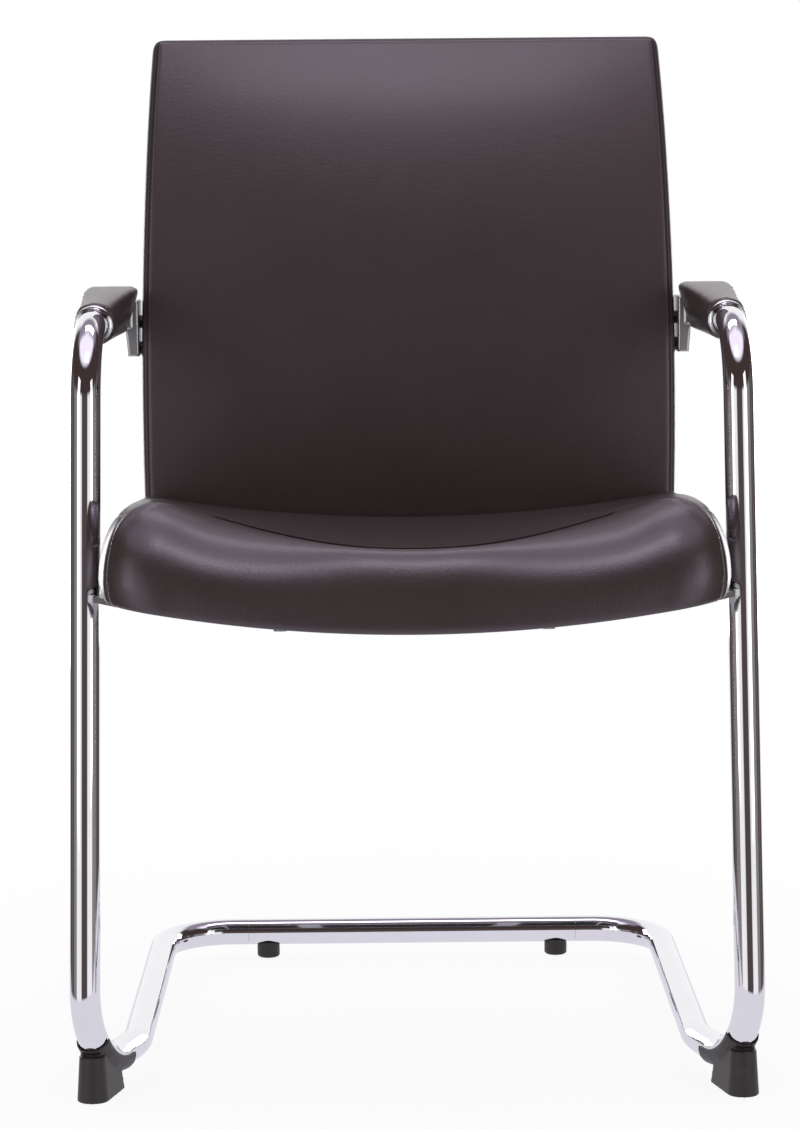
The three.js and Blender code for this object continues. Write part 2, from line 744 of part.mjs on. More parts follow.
function mirroredX(geometry) {
  const flat = geometry.index ? geometry.toNonIndexed() : geometry;
  const source = flat.attributes.position;
  const corners = [];
  for (let i = 0; i < source.count; i += 3)
    for (const corner of [i, i + 2, i + 1])
      corners.push(new THREE.Vector3().fromBufferAttribute(source, corner).multiply(at(-1, 1, 1)));
  return new THREE.BufferGeometry().setFromPoints(corners);
}

const both = (geometries) => geometries.flatMap((geometry) => [geometry, mirroredX(geometry)]);

// Lug bolts go inwards through lug and spacer into the strap's flange.
const strap_top = lug_bolt_height + strap_width / 2;
const strap_flange_outer = back_pocket_half_width * narrowing(strap_top) - layer_gap;
const strap_flange_inner = strap_flange_outer - strap_flange;
const strap_turn = strap_rise / back_bend_radius;
const lug_bolt_places = [-1, 1].map((side) => {
  const along = side * lug_bolt_half_spacing;
  const y = lug_bolt_place.y + along * Math.sin(strap_turn);
  return at(0, y, lug_bolt_place.z + along * Math.cos(strap_turn));
});
const lugThickness = (z) =>
  THREE.MathUtils.mapLinear(z, lug_bottom, lug_top, lug_bottom_thickness, lug_top_thickness);
const lug_bolts = lug_bolt_places.map((spot) => {
  const head_seat = lug_inner_face + lugThickness(spot.z) - lug_bolt_head_height;
  const place = spot.clone().setX(head_seat + fit_gap);
  const grip = place.x - strap_flange_inner + lug_bolt_reach;
  return bolt(place, at(-1, 0, 0), lug_bolt_diameter, lug_bolt_head_diameter, lug_bolt_head_height, grip);
});

const lug_names = ["lower", "upper"];
const bar_bolt_names = ["front", "rear"];

// Lug: a cast piece with a spigot in the arm tube and a cheek beside the backrest.
function makeLugs() {
  const spigot_radius = tube_radius - tube_wall - layer_gap;
  const cap_start = at(arm_half_width, arm_rear + fit_gap, arm_height);
  const cap_end = cap_start.clone().setY(cap_start.y + lug_cap_length);
  const spigot_start = cap_start.clone().setY(arm_rear - lug_spigot_length);
  const cheek_start = arm_rear + fit_gap;
  const cheek = new THREE.Shape()
    .moveTo(lug_inner_face + lug_edge, lug_bottom + lug_edge)
    .lineTo(lug_inner_face + lug_bottom_thickness - lug_edge, lug_bottom + lug_edge)
    .lineTo(lug_inner_face + lug_top_thickness - lug_edge, lug_top - lug_edge)
    .lineTo(lug_inner_face + lug_edge, lug_top - lug_edge);
  const plate = new THREE.ExtrudeGeometry(cheek, {
    depth: lug_plate_depth - 2 * lug_edge,
    bevelThickness: lug_edge,
    bevelSize: lug_edge,
    bevelSegments: 1,
  });
  plate.translate(0, 0, lug_edge).rotateX(Math.PI / 2);
  plate.translate(0, cheek_start + lug_plate_setback + lug_plate_depth, 0);
  const web_edge = lugThickness(arm_height) / 2;
  const web = block(
    at(lug_inner_face + web_edge, cheek_start + lug_plate_setback / 2, arm_height - lug_web_height / 2),
    at(arm_half_width, cap_end.y - lug_plate_setback / 2, arm_height + lug_web_height / 2),
  );
  const spigot_end = cap_start.clone().setY(cap_start.y + lug_plate_setback);
  const spigot = rod(spigot_radius, spigot_start, spigot_end, tube_sides);
  const cap = rod(tube_radius, cap_start, cap_end, round_sides);
  const holes = lug_bolts.flatMap(({ hole, head_room }) => [hole, head_room]);
  pair("arm_lug", cut(joined(plate, web, cap, spigot), ...holes), cast_alloy);

  lug_bolts.forEach(({ screw }, i) => {
    pair(`lug_bolt_${lug_names[i]}`, screw, steel);
    const from = lug_bolt_places[i].clone().setX(strap_flange_outer + fit_gap);
    const to = from.clone().setX(lug_inner_face - fit_gap);
    const sleeve = rod(spacer_diameter / 2, from, to, round_sides);
    pair(`lug_spacer_${lug_names[i]}`, cut(sleeve, lug_bolts[i].hole), steel);
  });
}

function makeStrap() {
  const plan = new THREE.Shape()
    .moveTo(-strap_flange_outer, 0)
    .lineTo(-strap_flange_inner, 0)
    .lineTo(-strap_flange_inner, strap_flange_depth - strap_thickness)
    .lineTo(strap_flange_inner, strap_flange_depth - strap_thickness)
    .lineTo(strap_flange_inner, 0)
    .lineTo(strap_flange_outer, 0)
    .lineTo(strap_flange_outer, strap_flange_depth)
    .lineTo(-strap_flange_outer, strap_flange_depth);
  const strap = new THREE.ExtrudeGeometry(plan, { depth: strap_width, bevelEnabled: false });
  strap.translate(0, 0, -strap_width / 2).rotateX(-strap_turn);
  const corner = inBack(0, strap_rise, strap_front_depth);
  strap.translate(corner.x, corner.y, corner.z);
  const holes = both(lug_bolts.map(({ hole }) => hole));
  piece("back_cross_strap", cut(strap, ...holes), steel);
}

function makeBars() {
  const bar = swept(barSection(0), bar_line);
  const seat_holes = seat_bolts.map(({ hole }) => hole.clone().applyMatrix4(seat_frame.matrix));
  pair("seat_back_bar", cut(bar, ...seat_holes, ...back_bolts.map(({ hole }) => hole)), steel);
  back_bolts.forEach(({ screw }, i) => pair(`back_bolt_${lug_names[i]}`, screw, steel));
}

// Backrest outline, seen from the front: x and rise
function backOutline() {
  const mid_rise = (back_top_rise + back_bottom_rise) / 2;
  const shape = new THREE.Shape();
  const top = back_top_half_width;
  const low = back_bottom_half_width;
  const mid = 2 * back_mid_half_width - (top + low) / 2;
  shape.moveTo(low, back_bottom_rise + back_corner);
  shape.quadraticCurveTo(mid, mid_rise, top, back_top_rise - back_corner);
  shape.quadraticCurveTo(top, back_top_rise, top - back_corner, back_top_rise);
  shape.quadraticCurveTo(0, back_top_rise, -top + back_corner, back_top_rise);
  shape.quadraticCurveTo(-top, back_top_rise, -top, back_top_rise - back_corner);
  shape.quadraticCurveTo(-mid, mid_rise, -low, back_bottom_rise + back_corner);
  shape.quadraticCurveTo(-low, back_bottom_rise, -low + back_corner, back_bottom_rise);
  shape.quadraticCurveTo(0, back_bottom_rise, low - back_corner, back_bottom_rise);
  shape.quadraticCurveTo(low, back_bottom_rise, low, back_bottom_rise + back_corner);
  return shape.getPoints(curve_points).slice(0, -1);
}

function makeBack() {
  const shell_low = back_pocket_low + layer_gap;
  const shell_high = back_pocket_high - layer_gap;
  const shell_rear = back_shell_front + back_shell_thickness;
  const shell = backLayer(back_shell_front, shell_rear, shell_low, shell_high, back_shell_half_width);
  piece("back_shell", cut(shell, ...both(back_bolts.map(({ hole }) => hole))), plywood);

  const panel_rear = back_panel_depth + back_panel_thickness;
  const panel_half_width = back_pocket_half_width - layer_gap;
  const panel = backLayer(back_panel_depth, panel_rear, shell_low, shell_high, panel_half_width);
  piece("back_rear_panel", panel, leather);

  const outline = backOutline();
  const middle = (back_top_rise + back_bottom_rise) / 2;
  const centred = outline.map((spot) => spot.clone().setY(spot.y - middle));
  const rows = cushionRows(
    back_thickness,
    back_edge_roll,
    back_edge_drop,
    back_tuck,
    back_roll_steps,
    back_tuck_steps,
  );
  const half_height = (back_top_rise - back_bottom_rise) / 2;
  const rear_face = back_thickness + back_crown;
  const body = cushion(centred, rows, rows, (x, rise, height) => {
    const full = fullness(x, rise, back_mid_half_width, half_height);
    const crown = back_crown * full * (height / back_thickness);
    return inBack(x, rise + middle, rear_face - height - crown);
  });
  const pocket = backLayer(
    back_foam,
    rear_face + 2 * overrun,
    back_pocket_low,
    back_pocket_high,
    back_pocket_half_width,
  );
  const bar_slot = swept(barSection(soft_gap), bar_line);
  const spacer_holes = lug_bolt_places.map((spot) =>
    rod(
      bore(spacer_diameter / 2 + fit_gap, round_sides),
      spot.clone().setX(strap_flange_outer - overrun),
      spot.clone().setX(lug_inner_face + overrun),
      round_sides,
    ),
  );
  piece("back_cushion", cut(body, pocket, ...both([bar_slot, ...spacer_holes])), leather);
}

// A dished slab of the seat, between two heights.
function seatLayer(low, high, half_width, front, rear) {
  const angle = Math.asin(half_width / seat_dish_radius);
  const across = new THREE.Shape();
  const down = -Math.PI / 2;
  across.absarc(0, seat_dish_radius + low, seat_dish_radius, down - angle, down + angle, false);
  across.absarc(0, seat_dish_radius + high, seat_dish_radius, down + angle, down - angle, true);
  const slab = new THREE.ExtrudeGeometry(across, {
    depth: rear - front,
    bevelEnabled: false,
    curveSegments: arcSegments(2 * angle, dish_step_degrees),
  });
  return slab.rotateX(Math.PI / 2).translate(0, rear, 0);
}

// Seat outline, seen from above
function seatOutline() {
  const front = seat_front + seat_front_bow;
  const front_side = seat_front_half_width;
  const rear_side = seat_rear_half_width;
  const widest = 2 * seat_widest_half_width - (front_side + rear_side) / 2;
  const widest_place = seat_front + seat_widest_from_front;
  const shape = new THREE.Shape();
  shape.moveTo(front_side, front + seat_front_corner);
  shape.quadraticCurveTo(widest, widest_place, rear_side, seat_rear - seat_rear_corner);
  shape.quadraticCurveTo(rear_side, seat_rear, rear_side - seat_rear_corner, seat_rear);
  shape.quadraticCurveTo(0, seat_rear, -rear_side + seat_rear_corner, seat_rear);
  shape.quadraticCurveTo(-rear_side, seat_rear, -rear_side, seat_rear - seat_rear_corner);
  shape.quadraticCurveTo(-widest, widest_place, -front_side, front + seat_front_corner);
  shape.quadraticCurveTo(-front_side, front, -front_side + seat_front_corner, front);
  shape.quadraticCurveTo(0, front - 2 * seat_front_bow, front_side - seat_front_corner, front);
  shape.quadraticCurveTo(front_side, front, front_side, front + seat_front_corner);
  return shape.getPoints(curve_points).slice(0, -1);
}

function makeSeat() {
  const holes = both(seat_bolts.map(({ hole }) => hole));
  const shell_side = seat_shell_half_width;
  const shell = seatLayer(seat_shell_low, seat_shell_high, shell_side, seat_shell_front, seat_shell_rear);
  piece("seat_shell", cut(shell, ...holes), plywood, seat_frame);
  const cover = seatLayer(seat_cover_low, seat_cover_high, shell_side, seat_shell_front, seat_shell_rear);
  piece("seat_underside_cover", cut(cover, ...holes), lining, seat_frame);

  const middle = (seat_front + seat_rear) / 2;
  const outline = seatOutline().map((spot) => spot.clone().setY(spot.y - middle));
  const half_length = (seat_rear - seat_front) / 2;
  const seatRows = (roll, roll_drop) =>
    cushionRows(seat_thickness, roll, roll_drop, seat_tuck, seat_roll_steps, seat_tuck_steps);
  const side_rows = seatRows(seat_side_roll, seat_side_roll_drop);
  const front_rows = seatRows(seat_front_roll, seat_front_roll_drop);
  const body = cushion(outline, side_rows, front_rows, (x, y, height) => {
    const upper = height / seat_thickness;
    const crown = seat_crown * fullness(x, y, seat_widest_half_width, half_length) * upper;
    const past = Math.max(0, seat_waterfall_length - (y + half_length)) / seat_waterfall_length;
    const fall = seat_waterfall_drop * past ** 2 * upper;
    return at(x, y + middle, height + crown - fall + seatDish(x));
  });
  const pocket = seatLayer(
    -overrun,
    seat_shell_high + layer_gap,
    seat_shell_half_width + layer_gap,
    seat_shell_front - layer_gap,
    seat_shell_rear + layer_gap,
  );
  piece("seat_cushion", cut(body, pocket), leather, seat_frame);

  const bearer_reach = foot_half_width;
  const bearer = seatLayer(
    bearer_top - bearer_thickness,
    bearer_top,
    bearer_reach,
    -bearer_width / 2,
    bearer_width / 2,
  );
  const into_seat = seat_frame.matrix.clone().invert();
  const upright = straight(floor_bend.stations[0].point, arm_bend.stations.at(-1).point);
  const tube_room = swept(disc(bore(tube_radius + fit_gap)), upright).applyMatrix4(into_seat);
  const bearer_end = arm_half_width - tube_radius / 2;
  const outer_room = block(
    at(bearer_end, -bearer_reach, -bearer_reach),
    at(2 * bearer_reach, bearer_reach, bearer_reach),
  );
  piece("seat_bearer", cut(bearer, ...both([tube_room, outer_room]), ...holes), steel, seat_frame);
  seat_bolts.forEach(({ screw }, i) => pair(`seat_bolt_${bar_bolt_names[i]}`, screw, steel, seat_frame));
}

makeFrame();
makeBoots();
makeGlides();
makeCollars();
makePads();
makeLugs();
makeStrap();
makeBars();
makeBack();
makeSeat();

// The origin is the middle of the chair's footprint on the floor.
chair.updateMatrixWorld(true);
chair.position.y = -new THREE.Box3().setFromObject(chair, true).getCenter(new THREE.Vector3()).y;

export default chair;
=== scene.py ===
"""A sled base visitor chair: chrome tube frame, dished leather seat, leather backrest and arm pads.

Metres, +Z up, the front of the chair towards -Y. Right is the +X side.
"""

import math

import bmesh
import bpy
import numpy as np
from mathutils import Matrix, Vector
from mathutils.bvhtree import BVHTree
from mathutils.kdtree import KDTree


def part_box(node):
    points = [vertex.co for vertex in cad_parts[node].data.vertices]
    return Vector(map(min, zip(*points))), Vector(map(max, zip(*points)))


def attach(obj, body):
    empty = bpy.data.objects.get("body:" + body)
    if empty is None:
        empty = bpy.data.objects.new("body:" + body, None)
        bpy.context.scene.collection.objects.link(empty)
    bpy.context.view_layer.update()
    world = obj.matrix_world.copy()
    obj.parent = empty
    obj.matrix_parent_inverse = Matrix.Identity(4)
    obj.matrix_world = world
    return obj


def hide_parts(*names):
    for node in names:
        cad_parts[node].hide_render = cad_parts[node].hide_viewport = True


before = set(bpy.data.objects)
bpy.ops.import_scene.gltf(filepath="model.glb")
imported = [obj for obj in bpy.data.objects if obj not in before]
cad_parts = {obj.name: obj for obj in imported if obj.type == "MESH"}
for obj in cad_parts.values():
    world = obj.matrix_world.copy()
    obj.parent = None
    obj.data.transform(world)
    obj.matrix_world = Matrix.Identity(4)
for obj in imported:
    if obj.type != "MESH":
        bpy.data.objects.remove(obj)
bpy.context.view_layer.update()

# The camera stands in front of the chair, a little above the arms, and looks slightly down.
# Its place, tilt and lens are those of the photograph.
photo_width, photo_height = 800, 1129
focal_pixels = 3195
camera_place = Vector((-0.0263, -2.7603, 0.750))
camera_pitch = math.radians(6.75)
camera_yaw = math.radians(0.33)
camera_roll = math.radians(0.5)

camera_data = bpy.data.cameras.new("camera")
camera_data.sensor_width = 36
camera_data.lens = camera_data.sensor_width * focal_pixels / photo_height
camera = bpy.data.objects.new("camera", camera_data)
bpy.context.scene.collection.objects.link(camera)
bpy.context.scene.camera = camera
bpy.context.scene.view_settings.view_transform = "Standard"

forward = Vector(
    (
        math.sin(camera_yaw) * math.cos(camera_pitch),
        math.cos(camera_yaw) * math.cos(camera_pitch),
        -math.sin(camera_pitch),
    )
)
level_right = Vector((math.cos(camera_yaw), -math.sin(camera_yaw), 0))
level_up = level_right.cross(forward)
camera_right = level_right * math.cos(camera_roll) - level_up * math.sin(camera_roll)
camera_up = level_up * math.cos(camera_roll) + level_right * math.sin(camera_roll)
turn = Matrix((camera_right, camera_up, -forward)).transposed()
camera.matrix_world = Matrix.Translation(camera_place) @ turn.to_4x4()


# The studio: a white cove. Diffuse light comes evenly from all round. Polished metal sees the
# white cove behind the chair, a grey ceiling and a dark room in front, between the softboxes.
class Wire:
    """A value on its way through a node tree. Sums and products of wires add Math nodes."""

    def __init__(self, tree, socket=None):
        self.tree = tree
        self.socket = socket

    def node(self, kind, settings, sockets, output=0):
        """Adds a node, with its settings first and then what its sockets hold."""
        node = self.tree.nodes.new("ShaderNode" + kind)
        for name, setting in settings.items():
            if name == "stops":
                stops = node.color_ramp.elements
                while len(stops) < len(setting):
                    stops.new(1)
                for stop, (place, level) in zip(stops, setting):
                    stop.position = place
                    stop.color = (level, level, level, 1)
            else:
                setattr(node, name, setting)
        for name, value in sockets.items():
            if isinstance(value, Wire):
                self.tree.links.new(value.socket, node.inputs[name])
            else:
                node.inputs[name].default_value = value
        return Wire(self.tree, node.outputs[output] if node.outputs else None)

    def math(self, operation, first, second):
        return self.node("Math", {"operation": operation}, {0: first, 1: second})

    def mix(self, share, low, high):
        """A colour between two others. A Math node would turn it grey."""
        return self.node("Mix", {"data_type": "RGBA"}, {0: share, 6: low, 7: high}, 2)

    def __add__(self, other):
        return self.math("ADD", self, other)

    def __sub__(self, other):
        return self.math("SUBTRACT", self, other)

    def __rsub__(self, other):
        return self.math("SUBTRACT", other, self)

    def __mul__(self, other):
        return self.math("MULTIPLY", self, other)

    def __gt__(self, other):
        return self.math("GREATER_THAN", self, other)

    __radd__ = __add__
    __rmul__ = __mul__


def rgb(red, green, blue):
    return (red, green, blue, 1)


def ramp(value, *stops):
    return value.node("ValToRGB", {"stops": stops}, {"Fac": value})


white = rgb(1, 1, 1)
room_light = 0.70
dark_room_colour = rgb(0.055, 0.036, 0.034)
ceiling_colour = rgb(1.10, 1.03, 1.20)
rear_colour = rgb(0.30, 0.26, 0.33)

world = bpy.data.worlds.new("studio")
bpy.context.scene.world = world
world.use_nodes = True
world.node_tree.nodes.clear()
wire = Wire(world.node_tree)
direction = wire.node("TexCoord", {}, {}, "Generated")
across = wire.node("SeparateXYZ", {}, {0: direction}, "X")
behind = wire.node("SeparateXYZ", {}, {0: direction}, "Y")
above = wire.node("SeparateXYZ", {}, {0: direction}, "Z")
round_about = across.math("ARCTAN2", across, 0 - behind) * (1 / math.pi)
from_front = round_about.math("ABSOLUTE", round_about, 0)
panels = ramp(
    from_front,
    (0.0, 0.03),
    (0.105, 0.03),
    (0.135, 0.95),
    (0.315, 1.0),
    (0.345, 0.22),
    (0.465, 0.20),
    (0.500, 0.03),
    (0.550, 0.03),
    (0.575, 0.16),
    (0.605, 0.03),
    (0.740, 0.03),
    (0.820, 1.0),
)
backdrop = ramp(from_front, (0.74, 0), (0.82, 1))
panel_height = ramp(above, (0.20, 1), (0.30, 0))
wall = backdrop.math("MAXIMUM", panels * panel_height, backdrop)
studio = wire.mix(wall, dark_room_colour, white)
rear_share = ramp(above, (0.62, 0), (0.74, 1)) * ramp(behind, (0.10, 0), (0.30, 1))
studio = wire.mix(rear_share, studio, rear_colour)
ceiling_share = ramp(above, (0.74, 0), (0.83, 1)) * ramp(behind, (0.10, 1), (0.30, 0))
studio = wire.mix(ceiling_share, studio, ceiling_colour)
seen = wire.node("LightPath", {}, {}, "Is Camera Ray")
mirrored = wire.node("LightPath", {}, {}, "Is Glossy Ray")
passed = wire.node("LightPath", {}, {}, "Is Transmission Ray")
fill = rgb(room_light, room_light, room_light)
colour = wire.mix(mirrored, fill, studio)
colour = wire.mix(seen, colour, white)
colour = wire.mix(passed, colour, white)
background = wire.node("Background", {}, {"Color": colour, "Strength": 1})
wire.node("OutputWorld", {}, {"Surface": background})


def softbox(name, place, target, width, height, radiance, tint=(1, 1, 1)):
    """A rectangular lamp that looks at a target. Its power follows from its area."""
    data = bpy.data.lights.new(name, "AREA")
    data.shape = "RECTANGLE"
    data.size = width
    data.size_y = height
    data.color = tint
    data.energy = radiance * math.pi * width * height
    lamp = bpy.data.objects.new(name, data)
    bpy.context.scene.collection.objects.link(lamp)
    look = Vector(target) - Vector(place)
    lamp.matrix_world = Matrix.Translation(place) @ look.to_track_quat("-Z", "Y").to_matrix().to_4x4()
    return lamp


softbox("front_softbox", (0, -0.90, 2.25), (0, -0.1, 0.45), 0.7, 0.45, 4.8, (0.98, 0.96, 1.0))
softbox("rear_softbox", (0, 0.60, 2.30), (0, -0.1, 0.45), 1.3, 0.4, 3.0, (0.98, 0.96, 1.0))
for side in (-1, 1):
    softbox(f"side_softbox_{side}", (side * 1.75, -1.55, 0.95), (0, 0, 0.55), 0.7, 1.6, 1.3)
    softbox(f"rim_softbox_{side}", (side * 1.1, 1.6, 0.50), (side * 0.25, -0.15, 0.45), 0.5, 0.8, 4.0)

floor_reach = 4.0
floor_front = -1.3
floor_rear = 3.5
bpy.ops.mesh.primitive_plane_add(size=1)
floor = bpy.context.object
floor.name = "floor"
floor.data.transform(Matrix.Diagonal((2 * floor_reach, floor_rear - floor_front, 1, 1)))
floor.data.transform(Matrix.Translation((0, (floor_front + floor_rear) / 2, 0)))

floor_material = bpy.data.materials.new("floor")
floor_material.use_nodes = True
floor_material.node_tree.nodes.clear()
wire = Wire(floor_material.node_tree)
spot = wire.node("TexCoord", {}, {}, "Object")
distance = wire.node("VectorMath", {"operation": "LENGTH"}, {0: spot}, "Value")
faded = ramp(distance * 0.5, (0.22, 0), (0.62, 1))
seen = wire.node("LightPath", {}, {}, "Is Camera Ray")
lit = wire.node("BsdfDiffuse", {}, {"Color": rgb(0.93, 0.93, 0.935)})
plain = wire.node("Emission", {}, {"Color": white, "Strength": 1})
shader = wire.node("MixShader", {}, {0: (faded * 0.10 + 0.90) * seen, 1: lit, 2: plain})

# Polished metal sees a white sheet under the chair, and past its edge the studio.
mirrored = wire.node("LightPath", {}, {}, "Is Glossy Ray")
sheet_share = ramp(distance * 0.5, (0.32, 1), (0.38, 0))
sheet = wire.node("Emission", {}, {"Color": rgb(0.92, 0.90, 0.98), "Strength": 0.85})
gone = wire.node("BsdfTransparent", {}, {"Color": white})
reflected = wire.node("MixShader", {}, {0: sheet_share, 1: gone, 2: sheet})
shader = wire.node("MixShader", {}, {0: mirrored, 1: shader, 2: reflected})
wire.node("OutputMaterial", {}, {"Surface": shader})
floor.data.materials.append(floor_material)


# The frame's side tubes: 25 mm steel tube, 2 mm wall, bent cold and chrome plated. Each one is an
# arm, an upright, a floor bend, a toed in stretch, a runner and half of the rear corner.
def finish(name):
    """A new material, with its wire and its Principled shader."""
    material = bpy.data.materials.new(name)
    material.use_nodes = True
    tree = material.node_tree
    return material, Wire(tree), tree.nodes["Principled BSDF"]


def feed(shader, **values):
    """Sets the shader's own sockets, or links a wire to them."""
    for name, value in values.items():
        socket = shader.inputs[name.replace("_", " ")]
        if isinstance(value, Wire):
            value.tree.links.new(value.socket, socket)
        else:
            socket.default_value = value


def noise(wire, scale, detail=3, roughness=0.5, vector=None):
    place = vector or wire.node("TexCoord", {}, {}, "Object")
    sockets = {"Vector": place, "Scale": scale, "Detail": detail, "Roughness": roughness}
    return wire.node("TexNoise", {}, sockets)


def bump(height, distance, strength=1):
    sockets = {"Height": height, "Distance": distance, "Strength": strength}
    return height.node("Bump", {}, sockets)


def chrome_finish():
    material, wire, shader = finish("chrome_plate")
    smudge = noise(wire, 22, 4, 0.6)
    ripple = noise(wire, 70, 2)
    tone = wire.mix(smudge, rgb(0.80, 0.79, 0.83), rgb(0.88, 0.875, 0.91))
    feed(
        shader,
        Base_Color=tone,
        Metallic=1.0,
        Roughness=smudge * 0.05 + 0.025,
        Normal=bump(ripple, 0.00002),
    )
    return material


def steel_finish(name, dark, light, roughness):
    """Rolled or cast metal with a satin surface: a fine tooth and cloudy gloss."""
    material, wire, shader = finish(name)
    cloud = noise(wire, 35, 4)
    tooth = noise(wire, 900, 2)
    feed(
        shader,
        Base_Color=wire.mix(cloud, dark, light),
        Metallic=1.0,
        Roughness=cloud * 0.12 + roughness,
        Normal=bump(tooth, 0.00004),
    )
    return material


def show(name, mesh, material, slot, *nodes):
    """A finished piece that rides on the chair and stands for its CAD nodes."""
    piece = bpy.data.objects.new(name, mesh)
    bpy.context.scene.collection.objects.link(piece)
    mesh.materials.clear()
    mesh.materials.append(material)
    mesh.shade_smooth()
    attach(piece, "root")
    if nodes:
        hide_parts(*nodes)
    return piece


def outward(mesh):
    """Merges what is double and turns every face outwards."""
    shape = bmesh.new()
    shape.from_mesh(mesh)
    bmesh.ops.remove_doubles(shape, verts=shape.verts, dist=1e-6)
    bmesh.ops.recalc_face_normals(shape, faces=shape.faces)
    shape.to_mesh(mesh)
    shape.free()
    return mesh


class Tree:
    """A Geometry Nodes tree with named inputs, run once on a line of points."""

    def __init__(self, name):
        self.group = bpy.data.node_groups.new(name, "GeometryNodeTree")
        self.group.interface.new_socket("Line", in_out="INPUT", socket_type="NodeSocketGeometry")
        self.group.interface.new_socket("Mesh", in_out="OUTPUT", socket_type="NodeSocketGeometry")
        self.entry = self.group.nodes.new("NodeGroupInput")
        self.exit = self.group.nodes.new("NodeGroupOutput")
        self.sizes = {}

    def size(self, name, value, kind="NodeSocketFloat"):
        """A named input of the tree and the value it gets."""
        item = self.group.interface.new_socket(name, in_out="INPUT", socket_type=kind)
        self.sizes[item.identifier] = value
        return self.entry.outputs[name]

    def node(self, kind, settings, sockets, output=0):
        node = self.group.nodes.new(kind)
        for name, setting in settings.items():
            setattr(node, name, setting)
        for name, value in sockets.items():
            if isinstance(value, bpy.types.NodeSocket):
                self.group.links.new(value, node.inputs[name])
            else:
                node.inputs[name].default_value = value
        return node.outputs[output]

    def run(self, points, closed, material):
        """The plain mesh that the tree makes of a line of points."""
        self.group.links.new(self.entry.outputs["Line"], self.start)
        real = self.node("GeometryNodeRealizeInstances", {}, {0: self.result})
        skin = self.size("Material", material, "NodeSocketMaterial")
        done = self.node("GeometryNodeSetMaterial", {}, {0: real, "Material": skin})
        self.group.links.new(done, self.exit.inputs[0])
        edges = [(i, i + 1) for i in range(len(points) - 1)]
        if closed:
            edges.append((len(points) - 1, 0))
        line = bpy.data.meshes.new("line")
        line.from_pydata([tuple(p) for p in points], edges, [])
        carrier = bpy.data.objects.new("line", line)
        bpy.context.scene.collection.objects.link(carrier)
        modifier = carrier.modifiers.new("tree", "NODES")
        modifier.node_group = self.group
        for identifier, value in self.sizes.items():
            modifier[identifier] = value
        depsgraph = bpy.context.evaluated_depsgraph_get()
        mesh = bpy.data.meshes.new_from_object(carrier.evaluated_get(depsgraph))
        bpy.data.objects.remove(carrier)
        return mesh


def tube(name, points, radius, material, sides=48):
    """A round bar along a line of points, with closed ends."""
    tree = Tree(name)
    line = tree.group.nodes.new("GeometryNodeMeshToCurve")
    tree.start = line.inputs[0]
    circle = tree.node(
        "GeometryNodeCurvePrimitiveCircle",
        {},
        {"Resolution": tree.size("Sides", sides, "NodeSocketInt"), "Radius": tree.size("Radius", radius)},
    )
    tree.result = tree.node(
        "GeometryNodeCurveToMesh", {}, {0: line.outputs[0], 1: circle, "Fill Caps": True}
    )
    return outward(tree.run(points, False, material))


def rounded_line(corners, radii, step=math.radians(2.5)):
    """A line through corners, each inner one rounded to its radius."""
    points = [Vector(corners[0])]
    for before, corner, after, radius in zip(corners, corners[1:], corners[2:], radii):
        start = (Vector(corner) - Vector(before)).normalized()
        end = (Vector(after) - Vector(corner)).normalized()
        angle = start.angle(end)
        first = Vector(corner) - start * radius * math.tan(angle / 2)
        axis = start.cross(end).normalized()
        centre = first + axis.cross(start) * radius
        count = math.ceil(angle / step)
        for i in range(count + 1):
            points.append(centre + Matrix.Rotation(angle * i / count, 3, axis) @ (first - centre))
    points.append(Vector(corners[-1]))
    return points


cross_low, cross_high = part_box("rear_cross_tube")
tube_radius = (cross_high.z - cross_low.z) / 2
low_axis = (cross_low.z + cross_high.z) / 2
rear_axis = (cross_low.y + cross_high.y) / 2
cross_setback = 0.475
upright_plane = rear_axis - cross_setback

arm_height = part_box("side_tube_right")[1].z - tube_radius
arm_half_width = 0.2677
arm_front = 0.028
foot_half_width = 0.2745
foot_front = -0.036
runner_half_width = 0.2395
runner_start = 0.072
joint_half_width = cross_high.x
bend_radius = 0.065
kink_radius = 0.100
arm_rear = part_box("side_tube_right")[1].y

chrome = chrome_finish()
for side, hand in ((1, "right"), (-1, "left")):
    arm_tube_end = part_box(f"arm_pad_core_{hand}")[1].y + 0.0017
    line = rounded_line(
        [
            (side * arm_half_width, arm_tube_end, arm_height),
            (side * arm_half_width, upright_plane + arm_front, arm_height),
            (side * foot_half_width, upright_plane + foot_front, low_axis),
            (side * runner_half_width, upright_plane + runner_start, low_axis),
            (side * runner_half_width, rear_axis, low_axis),
            (side * (joint_half_width + 0.0003), rear_axis, low_axis),
        ],
        [bend_radius, bend_radius, kink_radius, bend_radius],
    )
    mesh = tube(f"side_tube_{hand}", line, tube_radius, chrome)
    show(f"frame_tube_{hand}", mesh, chrome, "chrome", f"side_tube_{hand}")


# The rear cross tube: the same tube, plugged on to the side tubes over two sleeves and welded.
line = [Vector((x, rear_axis, low_axis)) for x in np.linspace(-joint_half_width, joint_half_width, 9)]
mesh = tube("rear_cross_tube", line, tube_radius, chrome)
show("frame_cross_tube", mesh, chrome, "chrome", "rear_cross_tube")

satin_steel = steel_finish("satin_steel", rgb(0.42, 0.42, 0.44), rgb(0.56, 0.56, 0.58), 0.30)
for hand in ("left", "right"):
    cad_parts[f"joint_sleeve_{hand}"].data.materials[0] = satin_steel

# The seat bearer: a flat steel strip, bent under the dish and welded between the two uprights.
# It carries the seat, and its ends show as light spots under the seat's corners.
def dress(material, *names):
    """Gives CAD nodes that stay as they are a better finish."""
    for name in names:
        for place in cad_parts[name].material_slots:
            place.material = material


dress(satin_steel, "seat_bearer")


